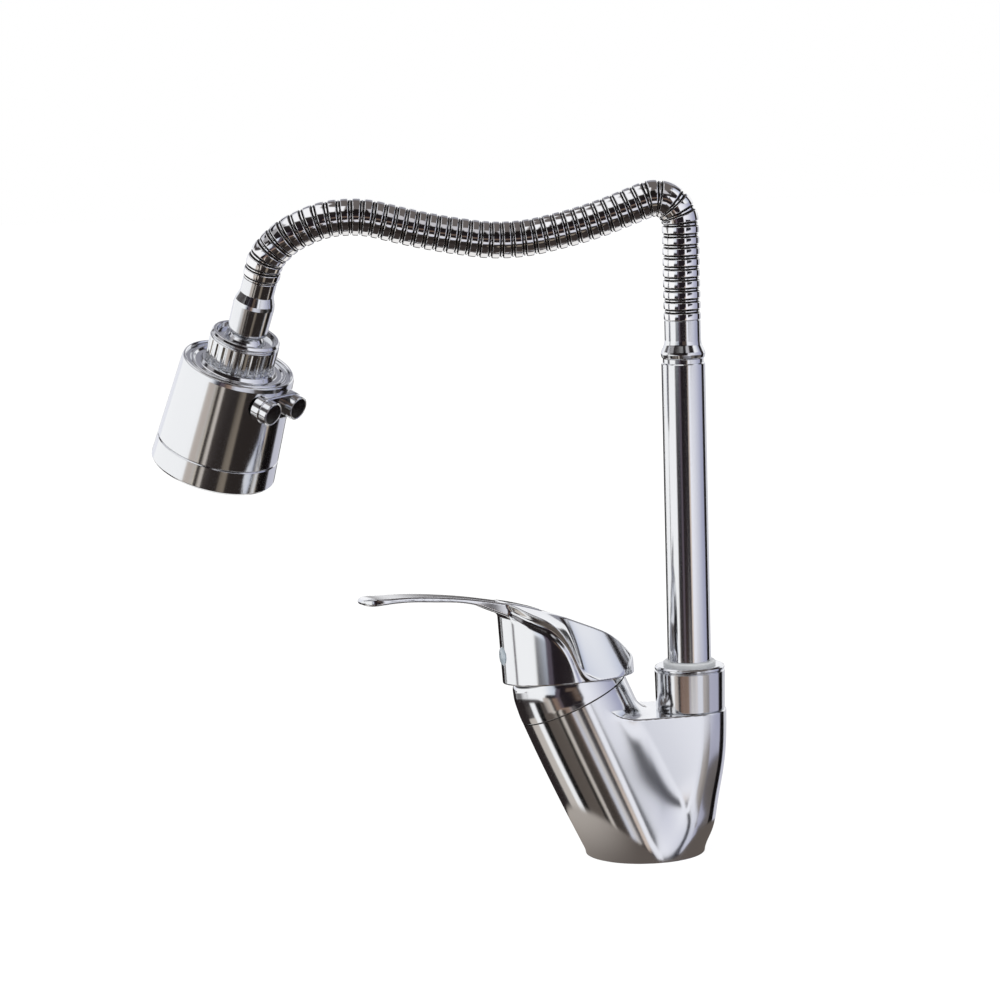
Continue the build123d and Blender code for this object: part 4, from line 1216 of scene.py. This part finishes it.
    def build(self) -> None:
        """Make the five stretches of armour."""
        middles = [self.recess((a + b) / 2) for a, b in zip(self.joints, self.joints[1:])]
        bounds = [self.start, *middles, self.marks[-1] - 0.1]
        nodes = [[f"hose_section_{k}"] for k in range(1, 6)]
        nodes[0].append("water_hose")
        nodes[-1].append("hose_section_6")
        round_points = circle(self.sides)
        for k, joint in enumerate(self.joints):
            rows = self.profile(bounds[k], bounds[k + 1])
            points, normals = [], []
            for station, radius, out, along, _ in rows:
                axes = self.at(station)
                hoop = np.outer(round_points[:, 0], axes.across) + np.outer(round_points[:, 1], axes.side)
                points.append(axes.origin + radius * hoop)
                normal = out * hoop + along * axes.up
                normals.append(normal / np.linalg.norm(normal, axis=-1, keepdims=True))
            piece = MeshMaker.mesh(f"armour_{k + 1}", np.concatenate(points),
                                   MeshMaker.hoop_faces(len(rows), self.sides), np.concatenate(normals))
            ARMOUR.dress(piece)
            # Faces between rows in shadow wear the dark finish: painted shade down in the slots beside each
            # rib.
            piece.data.materials.append(PAINTED_SHADE.make())
            for face in piece.data.polygons:
                row = face.index // self.sides
                face.material_index = int(rows[row][4] and rows[row + 1][4])
            axes = self.at(joint)
            middle, way = axes.origin * MM, axes.up * self.bend_reach * MM
            tuple(middle - way)
            tuple(middle + way)
            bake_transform(piece)
            ARMOUR.book(piece, *nodes[k])


@dataclass
class SprayHead:
    """The connector's sleeve, the fluted nut, and the head with its two push buttons.

    Args:
        sizes: the mixer's sizes.
        ball_drop: how far down the head the ball's centre is.
        ball_radius: the ball's radius.
        seat_radius: the radius of the nut's seat on it.
        flutes: the number of flutes in the nut.
        flute_reach: a flute's radius.
        flute_offset: how far outside the nut's wall a flute's centre is.
        flute_start: how far down the head the flutes begin.
        flute_fade: over what length they begin.
        nut_radius: the radius of the nut's wall.
        wall: the (radius, drop) at which the shell's wall begins.
        wall_taper: how much it widens with each millimetre down.
        wall_thickness: how thick it is.
        button_side: how far each button is from the middle of the pad.
        button_drop: how far down the head the buttons are.
        bore: the radius of the bores that they move in.
        pad_half: half the pad's width.
        pad_reach: how far from its middle its round ends begin.
        pad_sides: the number of corners in its outline.
        pad_face: how far its face is from the head's axis.
    """

    sizes: Sizes
    ball_drop: float = 24.0
    ball_radius: float = 10.0
    seat_radius: float = 10.09
    flutes: int = 24
    flute_reach: float = 1.1
    flute_offset: float = 0.4
    flute_start: float = 21.0
    flute_fade: float = 0.3
    nut_radius: float = 16.1
    wall: tuple[float, float] = (26.35, 35.0)
    wall_taper: float = 0.05556
    wall_thickness: float = 1.9
    button_side: float = 8.9
    button_drop: float = 42.0
    bore: float = 5.85
    pad_half: float = 6.25
    pad_reach: float = 8.95
    pad_sides: int = 120
    pad_face: float = 28.42

    def build(self) -> None:
        """Make the head's pieces."""
        head = self.sizes.head()
        lathe = Lathe(192)
        sleeve = lathe.turn("connector_skin", head, [
            (6.4, -10.4, 0), (7.6, -10.4, 0.2), (7.8, -10.1, 0.2), (7.8, -3.4, 0.5), (8.5, -1.4, 0.6),
            (9.2, 0.6, 0.8), (9.5, 2.4, 0.8), (9.2, 15.5, 0.4), (8.5, 16.3, 0.4), (6.2, 16.3, 0.3),
            (6.2, 17.0, 0)])
        ball = lathe.turn("neck_ball", head, [(6.2, 16.0, 0), (6.2, 17.6, 0.4)] + [
            (self.ball_radius * math.sin(a), self.ball_drop - self.ball_radius * math.cos(a), 2.0)
            for a in np.linspace(0.72, 2.7, 14)])
        whole = MeshMaker.join("connector_skin", [sleeve, ball])
        CHROME.cover(whole, "gooseneck_6", "hose_connector")
        self._nut(head, lathe)
        self._shell(head, lathe)
        self._buttons()
        VALVE.dress_nodes("ball_seat", "valve_body", "diverter_valve")
        STEEL.dress_nodes("filter_screen", "aerator_screen", "stream_spring", "spray_spring")
        RUBBER.dress_nodes("diverter_seal")
        SPRAY_FACE.dress_nodes("spray_plate")
        NOZZLES.dress_nodes("nozzle_ring")
        CARTRIDGE.dress_nodes("aerator")

    def _nut(self, head: Axes, lathe: Lathe) -> None:
        """The fluted nut over the ball.

        Args:
            head: the head's axes.
            lathe: the lathe that turns its seat.
        """
        def flute(radius: Array, height: Array, angle: Array) -> Array:
            """Cut round flutes into the nut's wall below its collar.

            Args:
                radius: the wall's radii.
                height: the heights along the head.
                angle: the angles round it.

            Returns:
                The fluted radii.
            """
            centre, pitch = self.nut_radius + self.flute_offset, 2 * np.pi / self.flutes
            swing = (np.mod(angle / pitch, 1.0) - 0.5) * pitch
            chord = np.maximum(self.flute_reach ** 2 - (centre * np.sin(swing)) ** 2, 0)
            bottom = np.where(chord > 0, centre * np.cos(swing) - np.sqrt(chord), self.nut_radius)
            share = np.clip((height - self.flute_start) / self.flute_fade, 0, 1)
            return radius + (np.minimum(radius, bottom) - radius) * share

        nut = Lathe(self.flutes * 24).turn("swivel_nut_skin", head, [
            (9.43, 20.6, 0), (9.73, 20.1, 0.2), (13.4, 20.1, 0.3), (13.9, 17.5, 0.3), (15.2, 17.5, 0.6),
            (16.0, 18.9, 0.6), (15.5, 20.1, 0.3), (15.6, 20.5, 0.2), (16.1, 20.6, 0.1), (16.1, 20.9, 0),
            (16.1, 21.3, 0), (16.1, 31.6, 0.3), (15.3, 32.3, 0.2), (13.6, 32.3, 0)], flute)
        CHROME.cover(nut, "spray_head", "swivel_nut")
        seat = lathe.turn("nut_seat", head, [
            (math.sqrt(self.seat_radius ** 2 - (self.ball_drop - d) ** 2), d, 3.0)
            for d in np.linspace(20.6, 23.6, 9)])
        CHROME.cover(seat, "spray_head")

    def _shell(self, head: Axes, lathe: Lathe) -> None:
        """The dished cap, the shell and the ring at the spray face.

        Args:
            head: the head's axes.
            lathe: the lathe that turns them.
        """
        cap = lathe.turn("cap_skin", head, [
            (12.3, 32.0, 0), (16.9, 32.35, 0.3), (18.0, 34.3, 1.0), (20.2, 34.3, 0.6), (21.0, 33.3, 0.5),
            (22.0, 33.2, 0.5), (22.6, 34.1, 0.6), (24.4, 34.1, 0)])
        CHROME.cover(cap, "spray_head", "head_cap")
        shell = lathe.turn("shell_skin", head, [
            (24.3, 34.1, 0), (24.5, 33.1, 0.4), (25.2, 32.5, 0.5), (26.0, 33.0, 0.7), (26.35, 35.0, 0.9),
            *self._wall(0.0), (28.5, 73.7, 0.2), (28.25, 74.15, 0.15), (26.8, 74.15, 0),
            *self._wall(-self.wall_thickness)[::-1], (24.4, 35.2, 0), (24.3, 34.1, 0)],
            window=self._under_pad)
        CHROME.cover(shell, "spray_head", "head_shell")
        ring = lathe.turn("ring_skin", head, [
            (26.5, 74.25, 0), (28.2, 74.25, 0.15), (28.57, 74.7, 0.2), (29.15, 84.9, 0.5), (28.3, 85.9, 0.5),
            (27.0, 85.9, 0.3), (26.95, 85.4, 0.2), (26.95, 80.9, 0)])
        CHROME.cover(ring, "spray_head", "head_ring")
        # A thin ring of the dark finish at the ring's seam: painted shade in the crease.
        seam = Lathe(160).turn("head_seam_shadow", head, [(28.1, 73.9, 0), (28.1, 74.5, 0)])
        PAINTED_SHADE.cover(seam, "spray_head")

    def _wall(self, offset: float) -> list[Corner]:
        """Close corners along the shell's wall, offset, where the buttons go through it."""
        radius, start = self.wall
        return [(radius + (d - start) * self.wall_taper + offset, d, 50.0)
                for d in np.linspace(35.6, 48.4, 40)]

    def _pad_outline(self, inset: float) -> Array:
        """The round-ended outline of the button pad.

        Args:
            inset: how far inside its edge.

        Returns:
            The outline's points.
        """
        ends = circle(self.pad_sides)
        shift = np.where(ends[:, 0] > 0, self.pad_reach, -self.pad_reach)
        return (self.pad_half - inset) * ends + np.stack([shift, 0 * shift], -1)

    def _pad(self) -> Axes:
        """The pad's axes: across it, and up towards the buttons' faces."""
        head = self.sizes.head()
        return Axes(head.place(np.array([0, 0, self.button_drop])), -head.side, head.across)

    def _under_pad(self, points: Array) -> Array:
        """Find the points under the pad.

        Args:
            points: points in the row frame.

        Returns:
            Whether each is under the pad.
        """
        spots = self._pad().local(points)
        along = np.maximum(np.abs(spots[:, 0]) - self.pad_reach, 0)
        return (np.hypot(along, spots[:, 1]) < self.pad_half - 0.1) & (spots[:, 2] > 0)

    def _buttons(self) -> None:
        """The raised pad with its two bores, and the push buttons in them."""
        pad = self._pad()
        radial, column = circle(self.pad_sides), np.ones((self.pad_sides, 1))
        points, normals = [], []
        levels = [(0.0, 24.0, 1.0, 0.0), (0.0, 27.6, 1.0, 0.0), (0.1, 28.0, 0.92, 0.38),
                  (0.3, 28.25, 0.7, 0.7), (0.6, 28.4, 0.38, 0.92), (0.75, self.pad_face, 0.0, 1.0)]
        for inset, height, out, along in levels:
            points.append(pad.place(np.concatenate([self._pad_outline(inset), height * column], -1)))
            normals.append(pad.turn(np.concatenate([out * radial, along * column], -1)))
        faces = MeshMaker.hoop_faces(len(levels), self.pad_sides)
        parts = [MeshMaker.mesh("pad_sides", np.concatenate(points), faces, np.concatenate(normals))]
        bores = [(side * self.button_side, 0.0, self.bore) for side in (-1, 1)]
        top = pad.raised(self.pad_face)
        parts.append(MeshMaker.plate("pad_top", top, self._pad_outline(levels[-1][0]), bores))
        for x, _, radius in bores:
            wall = [(radius, self.pad_face, 0), (radius, 25.0, 0)]
            parts.append(Lathe(HOLE_SIDES).turn("bore", pad.moved(x, 0, 0), wall))
        boss = MeshMaker.join("button_pad_skin", parts)
        CHROME.cover(boss, "spray_head", "button_boss")
        for side, name in ((-1, "stream"), (1, "spray")):
            axes = pad.moved(-side * self.button_side, 0, 0)
            button = Lathe(96).turn(f"{name}_button_skin", axes, [
                (5.7, 27.0, 0), (5.7, 32.0, 0.2), (5.4, 32.4, 0.2), (5.15, 32.36, 0.1), (5.0, 32.22, 0.1),
                (4.8, 32.3, 0.1), (2.4, 32.36, 3), (0.0, 32.4, 0)])
            CHROME.cover(button, f"{name}_push", f"{name}_button")


@dataclass(frozen=True)
class Card:
    """A soft-edged card of the studio, far off, that the metal reflects.

    Args:
        tone: its colour as seen, at its low bearing where it fades.
        bearing: its low and high bearings, in degrees from +X towards +Y.
        height: its low and high heights above the horizon, in degrees.
        soft: how far its edges fall off, in bearing and in height.
        slant: how far its bearing moves for each degree of height.
        fade: its colour as seen at its high bearing.
        tilt: how far its height moves for each degree of bearing.
    """

    tone: Colour
    bearing: tuple[float, float]
    height: tuple[float, float]
    soft: tuple[float, float] = (3.0, 2.0)
    slant: float = 0.0
    fade: Optional[Colour] = None
    tilt: float = 0.0

    @staticmethod
    def light(tone: Colour) -> tuple[float, float, float, float]:
        """A seen tone of 0 to 255 as light."""
        return (*(((c / 255 + 0.055) / 1.055) ** 2.4 * 1.06 for c in tone), 1.0)

    def over(self, tree: NodeTree, bearing: Wire, around: Wire, height: Wire, below: object) -> Wire:
        """Lay the card over what is below.

        Args:
            tree: the dome's tree.
            bearing: the bearing from -180 to 180.
            around: the bearing from 0 to 360.
            height: the height above the horizon.
            below: the colour so far.

        Returns:
            The colour with the card over it.
        """
        (left, right), (low, high) = self.bearing, self.height
        turn = around if right > 180 else bearing
        if self.tilt:
            height = height - (turn - (left + right) / 2) * self.tilt
        if self.slant:
            turn = turn - (height - (low + high) / 2) * self.slant
        share = turn.within(left, right, self.soft[0]) * height.within(low, high, self.soft[1])
        tone: object = self.light(self.tone)
        if self.fade is not None:
            tone = tree.mix(turn.band(left, right), tone, self.light(self.fade))
        return tree.mix(share, below, tone)


BASE_TONE = (62, 57, 57)
DECK_NEAR, DECK_FAR = (176, 168, 160), (98, 90, 85)
CARDS = (
    # Overhead and to the rear
    Card((104, 98, 96), (-180, 180), (54, 90), (1, 10)),
    Card((250, 250, 252), (-150, -10), (46, 72), (8, 6)),
    Card((212, 212, 218), (-180, -100), (28, 46), (8, 5)),
    Card((34, 31, 34), (-180, -96), (33, 40), (5, 1.5)),
    Card((160, 158, 160), (-96, -70), (28, 46), (6, 5)),
    Card((38, 34, 34), (-64, 62), (18, 37), (6, 4)),
    Card((26, 22, 22), (-4, 10), (12, 50), (4, 6)),
    Card((196, 194, 198), (14, 30), (38, 56), (4, 5)),
    Card((250, 250, 252), (128, 205), (2, 26), (4, 4)),
    Card((148, 148, 156), (136, 205), (30, 50), (6, 4)),
    Card((40, 36, 36), (109, 124), (4, 40), (3, 4)),
    Card((253, 253, 255), (64, 104), (27, 54), (6, 5), 0, (196, 202, 220)),
    # The great pale box on the lever's side
    Card((255, 255, 255), (-150, -60), (-13, 16), (4, 4)),
    Card((255, 255, 255), (-118, -56), (-8.5, 8), (4, 2), 0, None, -0.375),
    Card((255, 255, 255), (-66, -34), (-5, 9), (4, 1.5)),
    Card((236, 237, 243), (190, 214), (-5, 14), (5, 2)),
    Card((190, 180, 172), (-58, -48), (-21, -12), (3, 2)),
    Card((240, 230, 214), (-47, -35), (-27.5, -20), (3, 1.5)),
    # The dark front with its lines
    Card((32, 27, 31), (-50, 12), (-11.6, 22), (3, 0.8)),
    Card((92, 86, 90), (-104, -100), (-12, -8.2), (1.5, 0.8)),
    Card((40, 36, 38), (-146, -141), (-12, -6), (1.5, 0.8)),
    Card((255, 255, 255), (-60, -33), (-4, 9), (4, 1.5), 0, (214, 220, 232)),
    Card((86, 78, 88), (-31, -24), (-11.6, 8), (3, 1)),
    Card((104, 88, 78), (-8, 12), (3, 9), (4, 2)),
    # The pale box on the spout's side
    Card((246, 246, 252), (20, 101), (-11.2, 24), (4, 0.8), 0, (166, 168, 192)),
    Card((222, 204, 190), (13, 18), (-11.4, -7), (2, 1)),
    Card((12, 10, 20), (30, 60), (-4.1, 0.1), (3, 0.4), 0, None, 0.05),
    # Just below the level: the spout nut and the web
    Card((136, 112, 98), (-37, -3), (-17, -12.6), (3, 0.6), 0, (160, 138, 124)),
    Card((226, 216, 206), (3, 17), (-16.5, -12.6), (3, 0.6)),
    Card((216, 217, 226), (-8, 36), (-24, -15.0), (3, 3)),
    Card((220, 221, 229), (20, 36), (-16, -11.8), (3, 0.6)),
    Card((172, 164, 158), (39, 60), (-24, -12.2), (3, 0.8), 0, (132, 126, 122)),
    Card((176, 176, 194), (62, 101), (-15.5, -12.0), (3, 0.8)),
    Card((104, 98, 96), (63, 104), (-22, -17), (3, 1)),
    Card((40, 40, 38), (60, 116), (-32, -22.5), (5, 2)),
    # Lower: the leaning arm
    Card((44, 39, 39), (-176, -122), (-40, -16), (6, 3)),
    Card((196, 188, 180), (-122, -92), (-48, -31), (4, 3)),
    Card((255, 255, 255), (-97, -85), (-38, -23), (3, 3)),
    Card((10, 8, 8), (-81, -70), (-38, -24), (2, 3)),
    Card((92, 84, 78), (-67, -42), (-45, -26), (3, 5)),
    Card((196, 190, 184), (-47, -44), (-24, -17), (1.5, 3)),
    Card((30, 26, 26), (-40, -35), (-34, -20), (1.5, 3)),
    Card((206, 198, 190), (-32, -28), (-28.5, -18), (1.5, 3)),
    Card((62, 56, 52), (-25, -6), (-27, -18), (2, 1)),
    Card((214, 208, 202), (-2, 2), (-14, -11.5), (1.5, 0.8)),
    # Lowest in front: the spray head
    Card((44, 39, 37), (-30, 80), (-52, -31), (5, 3)),
    Card((132, 122, 110), (6, 18), (-43, -36), (4, 2)),
    Card((206, 192, 176), (92, 106), (-44, -32), (3, 3)),
    # To the rear on the spout's side, and underneath
    Card((16, 13, 13), (106, 127), (-36, -2), (3, 3), 0.5),
    Card((198, 198, 210), (131, 166), (-32, -13), (3, 2)),
    Card((206, 206, 212), (130, 164), (-12, 0), (4, 2)),
    Card((26, 22, 22), (168, 209), (-16, -5.5), (4, 1.5)),
    Card((56, 50, 48), (-60, 70), (-90, -52), (10, 5)),
    Card((240, 238, 236), (120, 230), (-80, -38), (10, 5)),
)


@dataclass
class Studio:
    """The floor, the light, the reflections and the camera.

    Args:
        camera_place: where the camera stands, in metres.
        camera_back: the way that its back faces.
        roll: how far it is rolled, in degrees.
        lens: its focal length, in millimetres.
        dome_radius: the radius of the dome, in metres.
        deck_radius: the radius of the patch of worktop, in millimetres.
        deck_fade: the width of its soft edge.
        deck_shade: where it begins to darken towards the rear, and where it is darkest.
        floor_half: half the floor's side, in millimetres.
        floor_glow: how bright the floor is to the camera.
        floor_glow_share: how much of that it shows.
        ambient: the strength of the light all round.
    """

    camera_place: tuple[float, float, float] = (1.77583, -0.187, 0.43323)
    camera_back: tuple[float, float, float] = (0.9866, -0.0690, 0.1478)
    roll: float = 1.6
    lens: float = 141.5
    dome_radius: float = 20.0
    deck_radius: float = 70.0
    deck_fade: float = 9.0
    deck_shade: tuple[float, float] = (-62.0, -4.0)
    floor_half: float = 4e3
    floor_glow: float = 1.12
    floor_glow_share: float = 0.8
    ambient: float = 0.75

    def build(self) -> None:
        """Set up the camera, the lights, the dome of reflections and the floor."""
        self._camera()
        self._world()
        self._floor()
        self._dome()
        self._deck_card()
        self._lamp("key_light", (1.1, -1.3, 1.7), 1.2, 16.0)
        self._lamp("fill_light", (1.2, 1.5, 1.2), 1.4, 8.0)
        bpy.context.scene.view_settings.view_transform = "Standard"

    def _camera(self) -> None:
        """The photograph's camera."""
        data = bpy.data.cameras.new("photo_camera")
        data.lens, data.sensor_width = self.lens, 36.0
        data.clip_start, data.clip_end = 0.05, 50.0
        camera = link("photo_camera", data)
        back = unit(self.camera_back)
        level = unit(np.cross([0, 0, 1.0], back))
        rise = np.cross(back, level)
        a = math.radians(self.roll)
        right = math.cos(a) * level - math.sin(a) * rise
        up = math.sin(a) * level + math.cos(a) * rise
        camera.matrix_world = Matrix([[right[i], up[i], back[i], self.camera_place[i]] for i in range(3)]
                                     + [[0, 0, 0, 1]])
        bpy.context.scene.camera = camera

    @staticmethod
    def _lamp(name: str, place: tuple[float, float, float], size: float, power: float) -> None:
        """A large soft lamp aimed at the object, not seen in its metal.

        Args:
            name: the lamp's name.
            place: where it stands, in metres.
            size: its width, in metres.
            power: its power, in watts.
        """
        data = bpy.data.lights.new(name, "AREA")
        data.size, data.energy = size, power
        lamp = link(name, data)
        lamp.location = place
        lamp.rotation_euler = (Vector((0, -0.06, 0.15)) - Vector(place)).to_track_quat("-Z", "Y").to_euler()
        lamp.visible_glossy = False

    def _world(self) -> None:
        """White to the eye and in the metal, plain soft light on the rest."""
        world = bpy.data.worlds.new("studio")
        bpy.context.scene.world = world
        world.use_nodes = True
        tree = NodeTree(world.node_tree)
        rays = tree.add("ShaderNodeLightPath", None, None, "Is Camera Ray")
        seen = rays + rays.sibling("Is Glossy Ray") + rays.sibling("Is Transmission Ray")
        light = tree.add("ShaderNodeBackground", None, {"Color": WHITE, "Strength": self.ambient})
        white = tree.add("ShaderNodeBackground", None, {"Color": WHITE, "Strength": 1.0})
        both = tree.add("ShaderNodeMixShader", None, {0: seen, 1: light, 2: white})
        tree.output("ShaderNodeOutputWorld", both)

    def _floor(self) -> None:
        """A pale floor that keeps the object's shadow."""
        square = self.floor_half * np.array([[-1, -1, 0], [1, -1, 0], [1, 1, 0], [-1, 1, 0]])
        floor = MeshMaker.mesh("floor", square, [(0, 1, 2, 3)])
        material, tree = NodeTree.material("studio_floor")
        seen = tree.add("ShaderNodeLightPath", None, None, "Is Camera Ray")
        matt = tree.add("ShaderNodeBsdfDiffuse", None, {"Color": (0.9, 0.9, 0.9, 1)})
        glow = tree.add("ShaderNodeEmission", None, {"Color": WHITE, "Strength": self.floor_glow})
        both = tree.add("ShaderNodeMixShader", None, {0: seen * self.floor_glow_share, 1: matt, 2: glow})
        tree.output("ShaderNodeOutputMaterial", both)
        floor.data.materials.append(material)
        floor.visible_glossy = False

    def _deck_card(self) -> None:
        """A soft-edged patch of worktop round the foot, seen only in the metal."""
        outline = self.deck_radius * circle(96)
        points = np.concatenate([outline, np.full((96, 1), 0.05)], -1)
        card = MeshMaker.mesh("deck_card", points, [range(96)])
        material, tree = NodeTree.material("deck_card")
        out = tree.add("ShaderNodeVectorMath", {"operation": "LENGTH"}, {0: tree.place()}, "Value")
        rear = tree.add("ShaderNodeSeparateXYZ", None, {0: tree.place()}, "Y")
        tone = tree.mix(rear.band(*self.deck_shade), Card.light(DECK_NEAR), Card.light(DECK_FAR))
        glow = tree.add("ShaderNodeEmission", None, {"Color": tone, "Strength": 1.0})
        clear = tree.add("ShaderNodeBsdfTransparent")
        share = out.band(self.deck_radius, self.deck_radius - self.deck_fade)
        both = tree.add("ShaderNodeMixShader", None, {0: share, 1: clear, 2: glow})
        tree.output("ShaderNodeOutputMaterial", both)
        self._only_in_metal(card, material)

    def _dome(self) -> None:
        """A great dome of cards that only the metal sees."""
        data = bpy.data.meshes.new("reflection_dome")
        mesh = bmesh.new()
        bmesh.ops.create_uvsphere(mesh, u_segments=48, v_segments=24, radius=self.dome_radius)
        mesh.to_mesh(data)
        mesh.free()
        material, tree = NodeTree.material("dome_light")
        place = tree.add("ShaderNodeTexCoord", None, None, "Object")
        way = tree.add("ShaderNodeVectorMath", {"operation": "NORMALIZE"}, {0: place})
        x = tree.add("ShaderNodeSeparateXYZ", None, {0: way})
        bearing = x.sibling("Y").turned(x)
        around = (bearing + 360).apply("MODULO", 360.0)
        height = x.sibling("Z").arcsine()
        colour: object = Card.light(BASE_TONE)
        for card in CARDS:
            colour = card.over(tree, bearing, around, height, colour)
        shine = tree.add("ShaderNodeEmission", None, {"Color": colour, "Strength": 1.0})
        tree.output("ShaderNodeOutputMaterial", shine)
        self._only_in_metal(link("reflection_dome", data), material)

    @staticmethod
    def _only_in_metal(piece: bpy.types.Object, material: bpy.types.Material) -> None:
        """Give a stage piece its material and show it to glossy rays alone.

        Args:
            piece: the stage piece.
            material: its material.
        """
        piece.data.materials.append(material)
        for ray in ("camera", "diffuse", "shadow", "transmission", "volume_scatter"):
            setattr(piece, f"visible_{ray}", False)


def main() -> None:
    """Build the studio and every piece of the mixer."""
    logging.basicConfig(level=logging.INFO, format="%(message)s")
    sizes = Sizes()
    Studio().build()
    for assembly in (Casting, CartridgeStack, Lever, SpoutColumn, Gooseneck, SprayHead):
        assembly(sizes).build()
        log.info("%s built", assembly.__name__)


if __name__ == "__main__":
    main()
